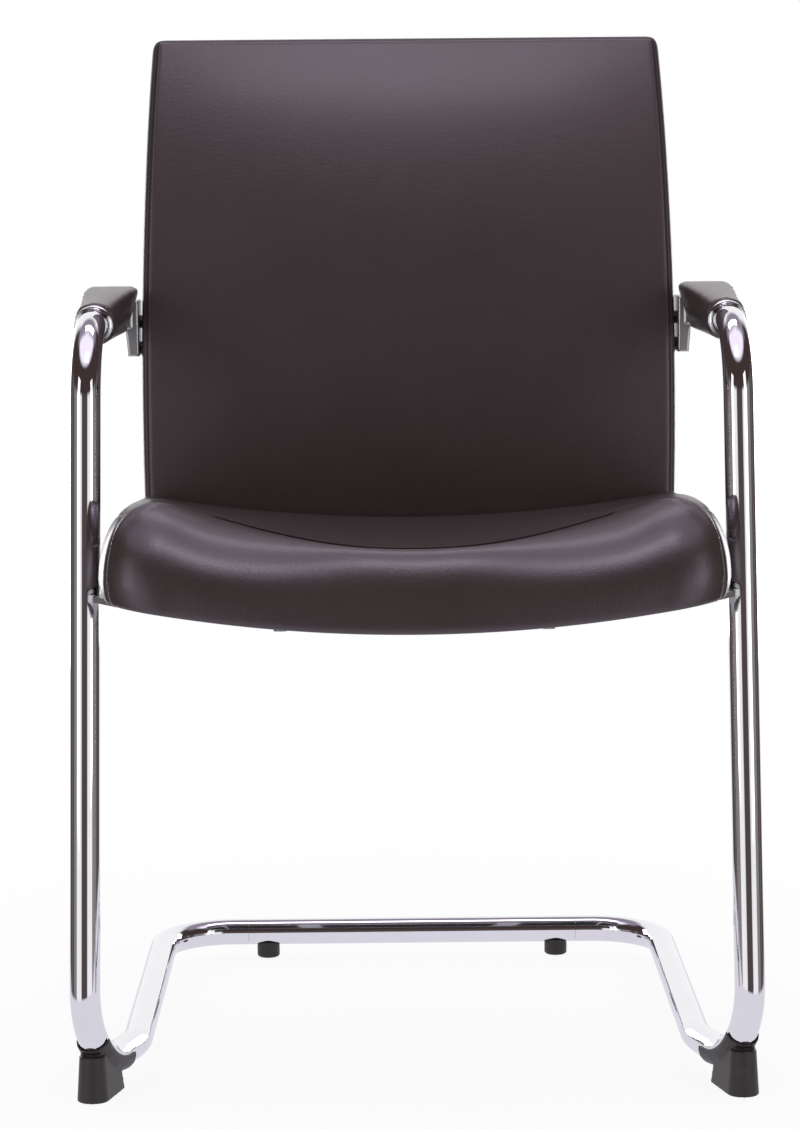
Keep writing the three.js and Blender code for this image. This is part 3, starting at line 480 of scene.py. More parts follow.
# Boots on the front floor bends: moulded black plastic, snapped round the tube from the front and
# held by a screw from below. Round glides with a saddle are screwed under the rear cross tube.
def plain_copy(node):
    """A merged copy of a CAD node's mesh."""
    return outward(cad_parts[node].data.copy())


def worked(mesh, *steps):
    """The mesh after modifiers, which are given as a kind and its settings."""
    carrier = bpy.data.objects.new("carrier", mesh)
    bpy.context.scene.collection.objects.link(carrier)
    for kind, settings in steps:
        modifier = carrier.modifiers.new(kind, kind)
        for name, setting in settings.items():
            setattr(modifier, name, setting)
    depsgraph = bpy.context.evaluated_depsgraph_get()
    result = bpy.data.meshes.new_from_object(carrier.evaluated_get(depsgraph))
    bpy.data.objects.remove(carrier)
    return result


def moulded(node, voxel, rounds):
    """A CAD node's form with the soft edges that a mould gives."""
    remesh = ("REMESH", {"mode": "VOXEL", "voxel_size": voxel})
    smooth = ("SMOOTH", {"factor": 0.5, "iterations": rounds})
    return worked(plain_copy(node), remesh, smooth)


def plastic_finish(name, dark, light, roughness):
    """Moulded plastic: a fine spark eroded tooth, slight scuffs and an even colour."""
    material, wire, shader = finish(name)
    tooth = noise(wire, 1400, 2, 0.6)
    scuff = ramp(noise(wire, 60, 5, 0.7), (0.55, 0), (0.75, 1))
    feed(
        shader,
        Base_Color=wire.mix(scuff, dark, light),
        Roughness=scuff * 0.15 + roughness,
        Normal=bump(tooth, 0.00005),
    )
    return material


black_plastic = plastic_finish("black_plastic", rgb(0.022, 0.017, 0.016), rgb(0.04, 0.034, 0.033), 0.42)
screw_steel = steel_finish("screw_steel", rgb(0.20, 0.20, 0.21), rgb(0.32, 0.32, 0.33), 0.34)
for hand in ("right", "left"):
    boot = moulded(f"front_boot_{hand}", 0.0008, 4)
    show(f"boot_{hand}", boot, black_plastic, "black_plastic", f"front_boot_{hand}")
    glide = moulded(f"rear_glide_{hand}", 0.0005, 3)
    show(f"glide_{hand}", glide, black_plastic, "black_plastic", f"rear_glide_{hand}")
    dress(screw_steel, f"boot_screw_{hand}", f"glide_screw_{hand}")


# The seat's carcass: a dished plywood shell, two steel L bars bolted under it, which run back and
# up into the backrest, and a black cloth cover that closes the underside.
def plywood_finish():
    material, wire, shader = finish("beech_plywood")
    place = wire.node("TexCoord", {}, {}, "Object")
    along = wire.node("Mapping", {}, {"Vector": place, "Scale": (60, 4, 260)})
    grain = noise(wire, 1, 6, 0.6, along)
    feed(
        shader,
        Base_Color=wire.mix(grain, rgb(0.38, 0.24, 0.13), rgb(0.58, 0.41, 0.25)),
        Roughness=grain * 0.2 + 0.45,
        Normal=bump(grain, 0.0002),
    )
    return material


def lining_finish():
    """Black spun bond cloth: a fine mat of short fibres."""
    material, wire, shader = finish("black_lining")
    fibre = noise(wire, 1800, 6, 0.8)
    feed(
        shader,
        Base_Color=wire.mix(fibre, rgb(0.012, 0.012, 0.013), rgb(0.035, 0.034, 0.036)),
        Roughness=0.9,
        Normal=bump(fibre, 0.0003),
    )
    return material


plywood = plywood_finish()
lining = lining_finish()
dark_steel = steel_finish("dark_steel", rgb(0.06, 0.06, 0.065), rgb(0.11, 0.11, 0.115), 0.38)
dress(plywood, "seat_shell", "back_shell")
dress(lining, "seat_underside_cover")
for hand in ("right", "left"):
    dress(satin_steel, f"seat_back_bar_{hand}")
    dress(screw_steel, f"seat_bolt_front_{hand}", f"seat_bolt_rear_{hand}")


# The seat cushion: foam on the shell under dark brown leather. A top panel runs over the front
# edge, and a side panel on each side is sewn to it and bulges out between its seams.
def leather_finish(name, dark, light, gloss, grain_size, stretch):
    """Pigmented leather: pebbles, creases, clouded colour and a soft sheen, with painted shade in the seam creases."""
    material, wire, shader = finish(name)
    place = wire.node("TexCoord", {}, {}, "Object")
    drift = noise(wire, 40, 3)
    pushed = wire.node("VectorMath", {"operation": "SCALE"}, {0: drift, "Scale": 0.004})
    bent = wire.node("VectorMath", {"operation": "ADD"}, {0: place, 1: pushed})
    pebble = wire.node(
        "TexVoronoi",
        {"feature": "SMOOTH_F1"},
        {"Vector": bent, "Scale": 1 / grain_size, "Smoothness": 0.6},
    )
    drawn = wire.node("Mapping", {}, {"Vector": bent, "Scale": stretch})
    crease = ramp(noise(wire, 1, 5, 0.65, drawn), (0.40, 0), (0.60, 1))
    cloud = noise(wire, 9, 4, 0.6)
    seam = wire.node("Attribute", {"attribute_name": "seam"}, {}, "Fac")
    colour = wire.mix(cloud, dark, light)
    colour = wire.mix(crease * 0.25, colour, light)
    # Painted shade: the leather turns near black in the seam creases.
    colour = wire.mix(seam, colour, rgb(0.006, 0.005, 0.005))
    mottle = noise(wire, 230, 4, 0.65, bent)
    height = pebble * 0.8 + crease * 0.22 + mottle * 0.7
    feed(
        shader,
        Base_Color=colour,
        Roughness=cloud * 0.08 + pebble * 0.10 + seam * 0.3 + gloss,
        Normal=bump(height, 0.00022, 0.55),
        Specular_IOR_Level=0.75,
        Specular_Tint=rgb(0.90, 0.78, 1.0),
        Coat_Weight=0.30,
        Coat_Roughness=0.24,
        Coat_Tint=rgb(0.97, 0.93, 1.0),
    )
    return material


def coordinates(mesh):
    flat = np.empty(3 * len(mesh.vertices))
    mesh.vertices.foreach_get("co", flat)
    return flat.reshape(-1, 3)


def directions(mesh):
    flat = np.empty(3 * len(mesh.vertices))
    mesh.vertices.foreach_get("normal", flat)
    return flat.reshape(-1, 3)


def place_points(mesh, points):
    mesh.vertices.foreach_set("co", points.ravel())
    mesh.update()


def evened(mesh, values, rounds, still=None):
    """Values of a mesh's points, each averaged with its neighbours'. Still points keep zero."""
    ends = np.empty(2 * len(mesh.edges), int)
    mesh.edges.foreach_get("vertices", ends)
    first, second = ends.reshape(-1, 2).T
    size = len(values)
    count = (np.bincount(ends, minlength=size) + 1)[:, None]
    for _ in range(rounds):
        total = values.copy()
        for axis in range(values.shape[1]):
            total[:, axis] += np.bincount(first, values[second, axis], size)
            total[:, axis] += np.bincount(second, values[first, axis], size)
        values = total / count
        if still is not None:
            values[still] = 0
    return values


def stuffed(mesh, held, cap, pressure):
    """Leather that its foam blows up: cloth under pressure, held where it is sewn or glued down."""
    start = coordinates(mesh)
    carrier = bpy.data.objects.new("cushion", mesh)
    bpy.context.scene.collection.objects.link(carrier)
    carrier.vertex_groups.new(name="held").add([int(i) for i in np.flatnonzero(held)], 1, "REPLACE")
    cloth = carrier.modifiers.new("cloth", "CLOTH")
    cloth.settings.quality = 3
    cloth.settings.mass = 0.3
    cloth.settings.tension_stiffness = 12
    cloth.settings.compression_stiffness = 12
    cloth.settings.shear_stiffness = 6
    cloth.settings.bending_stiffness = 2
    cloth.settings.use_pressure = True
    cloth.settings.uniform_pressure_force = pressure
    cloth.settings.vertex_group_mass = "held"
    cloth.settings.effector_weights.gravity = 0
    cloth.collision_settings.use_collision = False
    cloth.point_cache.frame_start = 1
    cloth.point_cache.frame_end = 20
    for step in range(1, 21):
        bpy.context.scene.frame_set(step)
    depsgraph = bpy.context.evaluated_depsgraph_get()
    blown = bpy.data.meshes.new_from_object(carrier.evaluated_get(depsgraph))
    move = evened(mesh, coordinates(blown) - start, 25, held)
    bpy.data.objects.remove(carrier)
    bpy.context.scene.frame_set(1)
    farthest = np.linalg.norm(move, axis=1).max() + 1e-9
    place_points(mesh, start + move * np.minimum(1, cap / farthest))
    return mesh


def true_to(mesh, node, rounds=14):
    """Puts a smoothed mesh back on its CAD node's surface, evenly, so that it isn't smaller."""
    solid = plain_copy(node)
    tree = BVHTree.FromPolygons([v.co for v in solid.vertices], [p.vertices for p in solid.polygons])
    points, normals = coordinates(mesh), directions(mesh)
    nearest = np.array([tree.find_nearest(point)[0] for point in points])
    offset = ((nearest - points) * normals).sum(axis=1)
    place_points(mesh, points + normals * evened(mesh, offset[:, None], rounds))
    return mesh


def points_tree(lines):
    """A search tree of points a millimetre apart along lines."""
    dense = []
    for line in lines:
        for first, second in zip(line, line[1:]):
            count = max(1, math.ceil((second - first).length / 0.001))
            dense += [first.lerp(second, i / count) for i in range(count)]
    tree = KDTree(len(dense))
    for i, point in enumerate(dense):
        tree.insert(point, i)
    tree.balance()
    return tree


def gaps_to(tree, points):
    return np.array([tree.find(point)[2] for point in points])


def sewn(mesh, tree, valley, depth, cuts):
    """Draws the leather in along its seams, where the mesh gets finer. Each point's nearness to a seam is kept in the
    attribute that paints shade into the seam crease."""
    shape = bmesh.new()
    shape.from_mesh(mesh)
    for cut in range(cuts):
        reach = valley * (2.2 - 0.9 * cut)
        near = [e for e in shape.edges if tree.find((e.verts[0].co + e.verts[1].co) / 2)[2] < reach]
        bmesh.ops.subdivide_edges(shape, edges=near, cuts=1, use_grid_fill=True)
    bmesh.ops.triangulate(shape, faces=[f for f in shape.faces if len(f.verts) > 4])
    shape.to_mesh(mesh)
    shape.free()
    points = coordinates(mesh)
    gap = gaps_to(tree, points)
    inward = depth * (0.55 * np.exp(-((gap / valley) ** 2)) + 0.45 * np.exp(-((gap / 0.0011) ** 2)))
    place_points(mesh, points - directions(mesh) * inward[:, None])
    # Painted shade: nearness to a seam, which darkens the leather in the seam crease.
    seam_shade = mesh.attributes.new("seam", "FLOAT", "POINT")
    seam_shade.data.foreach_set("value", np.exp(-((gap / 0.0012) ** 2)))
    return mesh


def stitches(name, lines, pitch, length, thickness, material, slot):
    """Sewing thread: one short stitch every pitch along lines on the leather."""
    meshes = []
    for line in lines:
        tree = Tree(name)
        curve = tree.group.nodes.new("GeometryNodeMeshToCurve")
        tree.start = curve.inputs[0]
        spaced = tree.node(
            "GeometryNodeResampleCurve",
            {"mode": "LENGTH"},
            {0: curve.outputs[0], "Length": tree.size("Pitch", pitch)},
        )
        thread = tree.node("GeometryNodeMeshUVSphere", {}, {"Segments": 6, "Rings": 4, "Radius": 1.0})
        stretched = tree.node(
            "GeometryNodeTransform",
            {},
            {0: thread, "Scale": (thickness / 2, thickness / 2, length / 2)},
        )
        tangent = tree.node("GeometryNodeInputTangent", {}, {})
        turned = tree.node("FunctionNodeAlignRotationToVector", {"axis": "Z"}, {"Vector": tangent})
        tree.result = tree.node(
            "GeometryNodeInstanceOnPoints",
            {},
            {"Points": spaced, "Instance": stretched, "Rotation": turned},
        )
        meshes.append(tree.run(line, False, material))
    shape = bmesh.new()
    for mesh in meshes:
        shape.from_mesh(mesh)
    joined = bpy.data.meshes.new(name)
    shape.to_mesh(joined)
    shape.free()
    return show(name, outward(joined), material, slot)


def thread_finish(name, colour, shade):
    material, wire, shader = finish(name)
    twist = noise(wire, 2500, 2)
    feed(shader, Base_Color=wire.mix(twist, shade, colour), Roughness=0.6, Normal=bump(twist, 0.0001))
    return material


frame_shift = cross_setback - rear_axis


def curves(start, *pieces):
    """An outline of curves, each given by its control point and its end."""
    points = []
    for control, end in pieces:
        for t in np.linspace(0, 1, 80, endpoint=False):
            points.append([(1 - t) ** 2 * a + 2 * t * (1 - t) * b + t * t * c for a, b, c in zip(start, control, end)])
        start = end
    return np.array(points)


def four_sides(outline, across_count, along_count):
    """A closed outline, evenly pointed from corner to corner. It runs along the front, the right
    side, the rear and the left side."""
    middle = (outline.min(0) + outline.max(0)) / 2
    half = outline.max(0) - middle
    lean = (outline - middle) / half
    corners = [int(np.argmax(lean @ np.array(way))) for way in ((-1, -1), (1, -1), (1, 1), (-1, 1))]
    sides = []
    for first, last, count in zip(corners, corners[1:] + corners[:1], (across_count, along_count) * 2):
        span = (last - first) % len(outline)
        stretch = outline[(first + np.arange(span + 1)) % len(outline)]
        run = np.concatenate([[0], np.cumsum(np.linalg.norm(np.diff(stretch, axis=0), axis=1))])
        places = np.arange(count) * run[-1] / count
        sides.append(np.column_stack([np.interp(places, run, stretch[:, i]) for i in range(2)]))
    return np.vstack(sides)


def outwards(loop):
    tangent = np.roll(loop, -1, axis=0) - np.roll(loop, 1, axis=0)
    out = np.column_stack([tangent[:, 1], -tangent[:, 0]])
    return out / np.linalg.norm(out, axis=1, keepdims=True)


def sheet_inside(loop, across_count, along_count):
    """Rows of points that fill a loop of four sides, as a grid (along, across)."""
    n, m = across_count, along_count
    front = loop[: n + 1]
    right = loop[n : n + m + 1]
    rear = loop[n + m : 2 * n + m + 1][::-1]
    left = np.vstack([loop[2 * n + m :], loop[:1]])[::-1]
    u = np.linspace(0, 1, n + 1)[None, :, None]
    v = np.linspace(0, 1, m + 1)[:, None, None]
    flat = (1 - v) * front[None] + v * rear[None] + (1 - u) * left[:, None] + u * right[:, None]
    corners = (1 - v) * ((1 - u) * front[0] + u * front[-1]) + v * ((1 - u) * rear[0] + u * rear[-1])
    return flat - corners


def cushion_mesh(name, face, loops, floor, across_count, along_count):
    """A closed cushion: a face grid, loops down its side and in under it, and a floor grid."""
    n, m = across_count, along_count
    ring = [(0, i) for i in range(n)] + [(j, n) for j in range(m)]
    ring += [(m, i) for i in range(n, 0, -1)] + [(j, 0) for j in range(m, 0, -1)]
    verts, faces, sheets = [], [], []
    for sheet in (face, floor):
        sheets.append(len(verts) + np.arange((m + 1) * (n + 1)).reshape(m + 1, n + 1))
        verts += list(sheet.reshape(-1, 3))
    for ids, turned in zip(sheets, (False, True)):
        for j in range(m):
            for i in range(n):
                quad = [ids[j, i], ids[j, i + 1], ids[j + 1, i + 1], ids[j + 1, i]]
                faces.append(quad[::-1] if turned else quad)
    rows = [[sheets[0][place] for place in ring]]
    for loop in loops:
        rows.append(list(len(verts) + np.arange(len(loop))))
        verts += list(loop)
    rows.append([sheets[1][place] for place in ring])
    for upper, lower in zip(rows, rows[1:]):
        for i in range(len(ring)):
            j = (i + 1) % len(ring)
            faces.append([upper[i], lower[i], lower[j], upper[j]])
    mesh = bpy.data.meshes.new(name)
    mesh.from_pydata([tuple(v) for v in verts], [], [[int(i) for i in f] for f in faces])
    return outward(mesh)


def edge_rows(thickness, roll, drop, tuck, roll_steps, tuck_steps):
    """Insets and heights of a cushion's edge, down over its roll and in to its underside."""
    turn = np.linspace(0, math.pi / 2, roll_steps + 1)
    rolled = np.column_stack([roll * (1 - np.sin(turn)), thickness - drop * (1 - np.cos(turn))])
    turn = np.linspace(0, math.pi / 2, tuck_steps + 1)[1:]
    tucked = np.column_stack([tuck * (1 - np.cos(turn)), (thickness - drop) * (1 - np.sin(turn))])
    return np.vstack([rolled, tucked])


def on_loops(loops, places):
    """Points at fractional (column, row) places of the loops."""
    points = []
    for column, row in places:
        low, left = int(row), int(math.floor(column))
        up, right = min(low + 1, len(loops) - 1), left + 1
        count = loops.shape[1]
        u, v = column - left, row - low
        near = loops[low][left % count] * (1 - u) + loops[low][right % count] * u
        far = loops[up][left % count] * (1 - u) + loops[up][right % count] * u
        points.append(Vector(near * (1 - v) + far * v))
    return points


def laid_on(mesh, line, lift=0.0):
    """The line's points moved to the nearest place on a mesh, or a little above it."""
    tree = BVHTree.FromPolygons([v.co for v in mesh.vertices], [p.vertices for p in mesh.polygons])
    found = [tree.find_nearest(point) for point in line]
    return [place + normal * lift for place, normal, index, distance in found]


seat_leather = leather_finish(
    "seat_leather", rgb(0.030, 0.0205, 0.0165), rgb(0.042, 0.0295, 0.0245), 0.27, 0.0011, (420, 60, 60)
)
# Painted light: the backrest is in the seat's leather, with its colour painted about an eighth lighter.
back_leather = leather_finish(
    "back_leather", rgb(0.034, 0.0235, 0.0178), rgb(0.047, 0.033, 0.0262), 0.34, 0.0011, (60, 60, 420)
)
thread = thread_finish("brown_thread", rgb(0.26, 0.22, 0.23), rgb(0.12, 0.10, 0.10))

seat_height, seat_tilt = 0.400, math.radians(2.3)
seat_front, seat_rear = -0.168, 0.2895
seat_widest, seat_front_side, seat_rear_side = 0.252, 0.251, 0.247
seat_widest_place = seat_front + 0.120
seat_bow, seat_front_corner, seat_rear_corner = 0.009, 0.058, 0.024
seat_dish, seat_thickness, seat_crown = 1.260, 0.062, 0.006
waterfall, waterfall_drop = 0.095, -0.002
corner_lift, corner_place, lift_front, lift_rear = 0.021, 0.200, 0.075, 0.300
shell_half_width, shell_front, shell_rear, shell_top = 0.2243, -0.1323, 0.2743, 0.0151


def seat_place(points):
    """Points of the seat, given by place and height over its underside, in the chair's frame."""
    x, y, height = points[..., 0], points[..., 1], points[..., 2]
    middle, half_length = (seat_front + seat_rear) / 2, (seat_rear - seat_front) / 2
    upper = height / seat_thickness
    across = np.maximum(0, 1 - (x / seat_widest) ** 2)
    along = np.maximum(0, 1 - ((y - middle) / half_length) ** 2)
    past = np.maximum(0, waterfall - (y - seat_front)) / waterfall
    to_rear = np.clip((y - seat_front - lift_front) / (lift_rear - lift_front), 0, 1)
    corner = np.minimum(1, (x / corner_place) ** 2) * (1 - to_rear * to_rear * (3 - 2 * to_rear))
    rise = seat_crown * np.sqrt(across * along) - waterfall_drop * past**2 + corner_lift * corner
    z = height + rise * upper + seat_dish - np.sqrt(seat_dish**2 - x**2)
    cos, sin = math.cos(seat_tilt), math.sin(seat_tilt)
    return np.stack([x, y * cos + z * sin - frame_shift, -y * sin + z * cos + seat_height], axis=-1)


front_line = seat_front + seat_bow
front_side, rear_side = seat_front_side, seat_rear_side
bulge = 2 * seat_widest - (front_side + rear_side) / 2
front_turn, rear_turn = front_line + seat_front_corner, seat_rear - seat_rear_corner
outline = curves(
    (front_side, front_turn),
    ((bulge, seat_widest_place), (rear_side, rear_turn)),
    ((rear_side, seat_rear), (rear_side - seat_rear_corner, seat_rear)),
    ((0, seat_rear), (-rear_side + seat_rear_corner, seat_rear)),
    ((-rear_side, seat_rear), (-rear_side, rear_turn)),
    ((-bulge, seat_widest_place), (-front_side, front_turn)),
    ((-front_side, front_line), (-front_side + seat_front_corner, front_line)),
    ((0, front_line - 2 * seat_bow), (front_side - seat_front_corner, front_line)),
    ((front_side, front_line), (front_side, front_turn)),
)
seat_across, seat_along = 68, 64
core_half, core_inset = 0.150, 0.100
loop = four_sides(outline, seat_across, seat_along)

# The side panels start at a seam on the front corner, and run nearly straight back from there.
seam_inset, seam_setback = 0.009, 0.0213
seam_y = front_line + seam_setback
loop[seat_across + 1] = (front_side - seam_inset, seam_y)
loop[-1] = (seam_inset - front_side, seam_y)
back_share = (loop[:, 1] - seam_y) / (seat_widest_place - seam_y)
panel = (abs(loop[:, 0]) > front_side - 0.012) & (back_share >= 0) & (back_share <= 1)
half = np.maximum(abs(loop[:, 0]), front_side) - seam_inset * (1 - np.clip(back_share, 0, 1)) ** 3
loop[:, 0] = np.where(panel, np.sign(loop[:, 0]) * half, loop[:, 0])
out = outwards(loop)

# The roll's rows go in towards a smaller, square cornered core, so that they don't cross.
core = np.clip(loop, (-core_half, seat_front + core_inset), (core_half, seat_rear - seat_rear_corner))
outward_way = loop - core
outward_way /= np.linalg.norm(outward_way, axis=1, keepdims=True)
facing_front = np.maximum(0, -out[:, 1:2]) ** 1.2
near_front = np.clip(1 - (loop[:, 1:2] - seat_front - 0.12) / 0.20, 0, 1)
shoulder_rows = edge_rows(seat_thickness, 0.046, 0.050, 0.005, 8, 9)
side_rows = edge_rows(seat_thickness, 0.012, 0.028, 0.005, 8, 9)
front_rows = edge_rows(seat_thickness, 0.030, 0.045, 0.006, 8, 9)
corner_rows = edge_rows(seat_thickness, 0.085, 0.047, 0.006, 8, 9)
off_centre = np.clip((abs(loop[:, :1]) - 0.03) / 0.14, 0, 1)
off_centre = off_centre**2 * (3 - 2 * off_centre)


def seat_loop(side_row, shoulder_row, front_row, corner_row):
    row = side_row + (shoulder_row - side_row) * near_front
    front = front_row + (corner_row - front_row) * off_centre
    inset, height = (row + (front - row) * facing_front).T
    return np.column_stack([loop - outward_way * inset[:, None], height])


def box_loop(low, high, low_half, high_half, height, counts):
    """A square cornered loop with as many points on each side as a cushion's outline."""
    n, m = counts
    u, v = np.arange(n)[:, None] / n, np.arange(m)[:, None] / m
    corners = np.array([(-low_half, low), (low_half, low), (high_half, high), (-high_half, high)])
    stretches = []
    for first, share in zip(range(4), (u, v, u, v)):
        stretches.append(corners[first] * (1 - share) + corners[(first + 1) % 4] * share)
    flat = np.vstack(stretches)
    return np.column_stack([flat, np.full(len(flat), height)])


row_sets = (side_rows, shoulder_rows, front_rows, corner_rows)
rim = [seat_loop(*rows) for rows in zip(*row_sets)]
counts = (seat_across, seat_along)
pocket = [
    box_loop(shell_front, shell_rear, shell_half_width, shell_half_width, height, counts)
    for height in (0, 0.005, 0.010, shell_top)
]
face = sheet_inside(rim[0], seat_across, seat_along)
roof = sheet_inside(pocket[-1], seat_across, seat_along)
inner = (rim[-1] + pocket[0]) / 2
loops = rim[1:] + [inner] + pocket[:-1]
seat = cushion_mesh(
    "seat",
    seat_place(face),
    [seat_place(row) for row in loops],
    seat_place(roof),
    seat_across,
    seat_along,
)

# Its seams: along each upper side edge, down at the front corner and down at the rear corner.
panel_edge = seat_loop(*(rows[0] + [0.007, 0] for rows in row_sets))
side_loops = np.array([seat_place(row) for row in [panel_edge] + rim])
last = len(side_loops) - 1


def seat_seam(offset):
    """A side panel's seam as (column, row) places, drawn towards the top panel by an offset."""
    n, m = seat_across, seat_along
    edge, corner = 7.5 - offset, n + 1.0 - offset
    places = [(n + m - 1 + offset, row) for row in np.linspace(last, edge, 20)]
    places += [(column, edge) for column in np.arange(n + m - 1, n + 20, -0.5)]
    for t in np.linspace(0, 1, 40):
        column = (1 - t) ** 2 * (n + 20) + 2 * t * (1 - t) * (corner + 2.0) + t * t * corner
        row = (1 - t) ** 2 * edge - 2 * t * (1 - t) * offset + t * t * 10
        places.append((column, max(0, row)))
    places += [(corner, row) for row in np.linspace(10.4, last, 14)]
    return places


def both_sides(places):
    """The same line on the right and, mirrored, on the left side."""
    left = [((seat_across - column) % mirror_count, row) for column, row in places]
    return [places, left]


mirror_count = 2 * (seat_across + seat_along)
seams = [on_loops(side_loops, line) for line in both_sides(seat_seam(0.0))]
tree = points_tree(seams)
normals = directions(seat)
points = coordinates(seat)
slack = np.where(abs(normals[:, 0]) > 0.6, 0.0012, 0.0010)[:, None]
held = (gaps_to(tree, points) < 0.005) | (normals[:, 2] < -0.35)
seat = stuffed(seat, held, slack, 4)
seat = worked(seat, ("SUBSURF", {"levels": 1, "render_levels": 1}))
seams = [laid_on(seat, line) for line in seams]
seat = sewn(seat, points_tree(seams), 0.0032, 0.0020, 2)
piece = show("seat", seat, seat_leather, "upholstery_leather", "seat_cushion")

rows = [on_loops(side_loops, line[20:]) for line in both_sides(seat_seam(0.5))]
rows = [laid_on(seat, row, 0.0001) for row in rows]
stitches("seat_stitches", rows, 0.0042, 0.0028, 0.0005, thread, "upholstery_leather")


# The backrest's carcass: a bent plywood shell on the two bars, and a steel cross strap behind it
# that the arm lugs' bolts are screwed into.
dress(satin_steel, "back_cross_strap")
for hand in ("right", "left"):
    dress(screw_steel, f"back_bolt_lower_{hand}", f"back_bolt_upper_{hand}")


# The backrest: foam on the shell under the same leather, a front panel sewn to a narrow gusset,
# with a stitched edge, and a leather covered rear panel that closes it.
back_bend, back_axis_y, back_axis_z = 0.900, 1.191, 0.520
back_bottom, back_top = -0.0942, 0.3824
back_low_half, back_mid_half, back_top_half = 0.2420, 0.2418, 0.2330
back_corner, back_thickness, back_crown = 0.009, 0.050, 0.005
back_foam, pocket_rim, pocket_wall = 0.026, 0.014, 0.010
back_middle, back_half = (back_top + back_bottom) / 2, (back_top - back_bottom) / 2


def back_place(points):
    """Points of the backrest, given by place, rise and height over its rear, in the chair's frame."""
    x, rise, height = points[..., 0], points[..., 1], points[..., 2]
    across = np.maximum(0, 1 - (x / back_mid_half) ** 2)
    along = np.maximum(0, 1 - ((rise - back_middle) / back_half) ** 2)
    crown = back_crown * across * along * height / back_thickness
    radius = back_bend - (back_thickness + back_crown - height - crown)
    angle = rise / back_bend
    y = back_axis_y - radius * np.cos(angle) - frame_shift
    return np.stack([x, y, back_axis_z + radius * np.sin(angle)], axis=-1)


low, top, corner = back_low_half, back_top_half, back_corner
bulge = 2 * back_mid_half - (top + low) / 2
outline = curves(
    (low, back_bottom + corner),
    ((bulge, back_middle), (top, back_top - corner)),
    ((top, back_top), (top - corner, back_top)),
    ((0, back_top), (-top + corner, back_top)),
    ((-top, back_top), (-top, back_top - corner)),
    ((-bulge, back_middle), (-low, back_bottom + corner)),
    ((-low, back_bottom), (-low + corner, back_bottom)),
    ((0, back_bottom), (low - corner, back_bottom)),
    ((low, back_bottom), (low, back_bottom + corner)),
)
back_counts = (68, 68)
back_edge = four_sides(outline, *back_counts)
back_out = outwards(back_edge)


def back_loop(inset, height):
    return np.column_stack([back_edge - back_out * inset, np.full(len(back_edge), height)])


rim = [back_loop(*row) for row in edge_rows(back_thickness, 0.009, 0.012, 0.0045, 6, 7)]
pocket_low, pocket_high = back_bottom + pocket_rim, back_top - pocket_rim
pocket_half = back_low_half - pocket_wall
narrower = back_top_half / back_low_half
pocket_floor = back_thickness + back_crown - back_foam
pocket = [
    box_loop(pocket_low, pocket_high, pocket_half, pocket_half * narrower, height, back_counts)
    for height in (0, 0.010, 0.020, pocket_floor)
]
back = cushion_mesh(
    "backrest",
    back_place(sheet_inside(rim[0], *back_counts)),
    [back_place(row) for row in rim[1:] + [(rim[-1] + pocket[0]) / 2] + pocket[:-1]],
    back_place(sheet_inside(pocket[-1], *back_counts)),
    *back_counts,
)
seams = []
for row in (2, 11):
    line = [Vector(point) for point in back_place(rim[row])]
    seams.append(line + line[:1])
tree = points_tree(seams)
held = (gaps_to(tree, coordinates(back)) < 0.002) | (directions(back)[:, 1] > -0.25)
points = abs(coordinates(back))
back_low, back_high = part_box("back_cushion")
from_corner = np.minimum(
    np.hypot(points[:, 0] - back_high.x, coordinates(back)[:, 2] - back_high.z),
    np.hypot(points[:, 0] - back_high.x, coordinates(back)[:, 2] - back_low.z),
)
back = stuffed(back, held, (0.0001 + 0.0012 * (1 - np.exp(-((from_corner / 0.08) ** 2))))[:, None], 3)
back = worked(back, ("SUBSURF", {"levels": 1, "render_levels": 1}))
seams = [laid_on(back, line) for line in seams]
back = sewn(back, points_tree(seams), 0.0020, 0.0011, 2)
piece = show("backrest", back, back_leather, "upholstery_leather", "back_cushion")

row = [Vector(point) for point in back_place(back_loop(0.0074, back_thickness))]
row = laid_on(back, row + row[:1], 0.0001)
stitches("back_stitches", [row], 0.0026, 0.0018, 0.0005, thread, "upholstery_leather")

rear_panel = worked(
    plain_copy("back_rear_panel"),
    ("BEVEL", {"width": 0.0009, "segments": 3, "limit_method": "ANGLE", "angle_limit": math.radians(50)}),
)
show("back_panel", rear_panel, back_leather, "upholstery_leather", "back_rear_panel")


# The arm lugs: cast light alloy, tumbled to a satin grey. A spigot fills the end of each arm tube,
# and two bolts with spacers go from the lug into the backrest's cross strap.
alloy = steel_finish("cast_alloy", rgb(0.50, 0.50, 0.52), rgb(0.63, 0.63, 0.66), 0.32)
for hand in ("right", "left"):
    lug = moulded(f"arm_lug_{hand}", 0.0007, 3)
    show(f"lug_{hand}", lug, alloy, "cast_lug", f"arm_lug_{hand}")
    dress(dark_steel, f"lug_spacer_lower_{hand}", f"lug_spacer_upper_{hand}")
    dress(screw_steel, f"lug_bolt_lower_{hand}", f"lug_bolt_upper_{hand}")


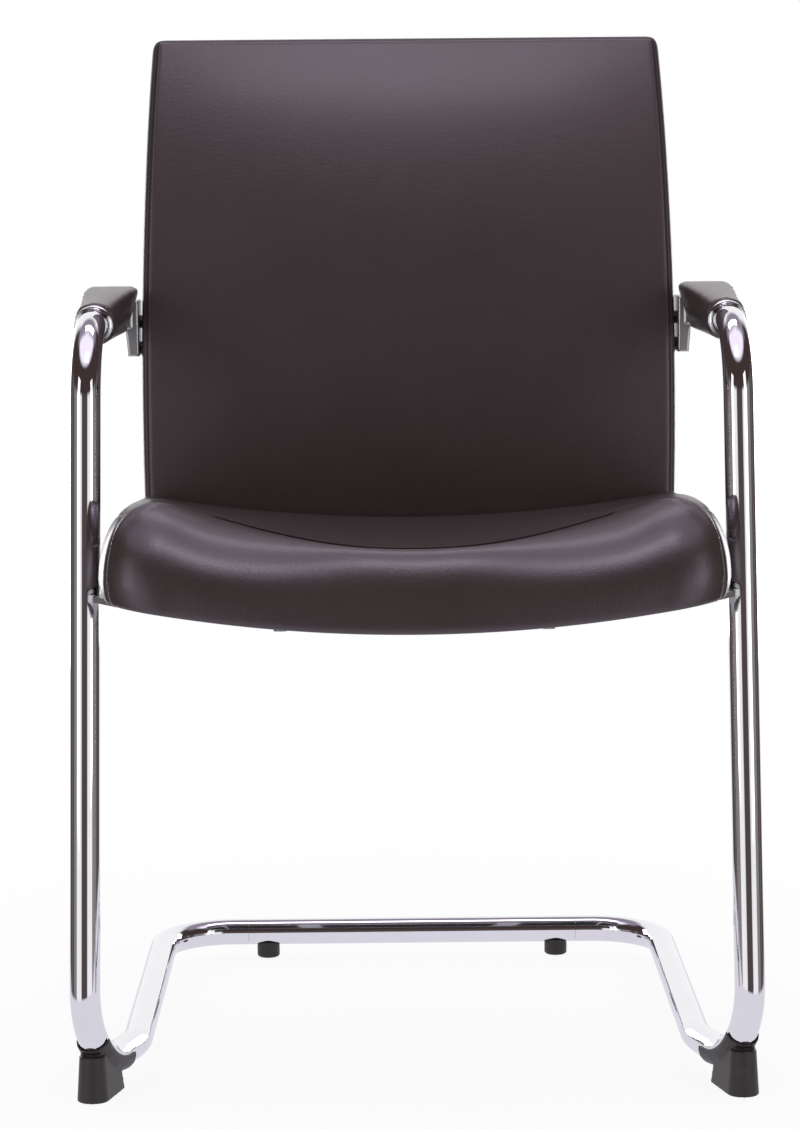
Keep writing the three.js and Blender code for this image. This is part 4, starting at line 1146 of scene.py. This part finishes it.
# The arm pads: a plastic core that slides over the tube, under thin foam and leather. They are
# round at the front, where a turned chrome collar stops them, and slanted inwards at the rear.
pad_leather = leather_finish(
    "pad_leather", rgb(0.036, 0.0250, 0.0200), rgb(0.050, 0.0355, 0.0290), 0.30, 0.0009, (60, 260, 60)
)
dress(black_plastic, "arm_pad_core_right", "arm_pad_core_left")
for hand in ("right", "left"):
    core = plain_copy(f"arm_pad_core_{hand}")
    glued = BVHTree.FromPolygons([v.co for v in core.vertices], [p.vertices for p in core.polygons])
    pad = worked(
        plain_copy(f"arm_pad_cover_{hand}"),
        ("REMESH", {"mode": "VOXEL", "voxel_size": 0.002}),
        ("SMOOTH", {"factor": 0.5, "iterations": 5}),
    )
    pad = true_to(pad, f"arm_pad_cover_{hand}")
    held = np.array([glued.find_nearest(point)[3] < 0.0016 for point in coordinates(pad)])
    pad = stuffed(pad, held, 0.0012, 3)
    piece = show(f"arm_pad_{hand}", pad, pad_leather, "pad_leather", f"arm_pad_cover_{hand}")


def ring(profile, centre, along, sides=96):
    """A closed profile of (along, radius) turned round an axis through a centre."""
    along = along.normalized()
    first = along.orthogonal().normalized()
    second = along.cross(first)
    verts = []
    for i in range(sides):
        angle = math.tau * i / sides
        spoke = first * math.cos(angle) + second * math.sin(angle)
        verts += [centre + along * place + spoke * radius for place, radius in profile]
    count = len(profile)
    faces = []
    for i in range(sides):
        for j in range(count):
            k, l = (i + 1) % sides, (j + 1) % count
            faces.append((i * count + j, k * count + j, k * count + l, i * count + l))
    mesh = bpy.data.meshes.new("ring")
    mesh.from_pydata([tuple(v) for v in verts], [], faces)
    return outward(mesh)


collar_bore = tube_radius + 0.0003
collar_profile = [
    (0.0006, collar_bore),
    (0.0, 0.0134),
    (0.0, 0.0144),
    (0.0005, 0.0147),
    (0.0005, 0.0149),
    (0.0001, 0.0152),
    (0.0004, 0.0159),
    (0.0012, 0.0165),
    (0.0024, 0.0168),
    (0.0078, 0.0168),
    (0.0090, 0.0165),
    (0.0097, 0.0158),
    (0.0100, 0.0146),
    (0.0100, collar_bore),
]
for side, hand in ((1, "right"), (-1, "left")):
    low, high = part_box(f"arm_collar_{hand}")
    centre = Vector(((low.x + high.x) / 2, low.y, (low.z + high.z) / 2))
    collar = ring(collar_profile, centre, Vector((0, 1, 0)))
    show(f"collar_{hand}", collar, chrome, "chrome", f"arm_collar_{hand}")
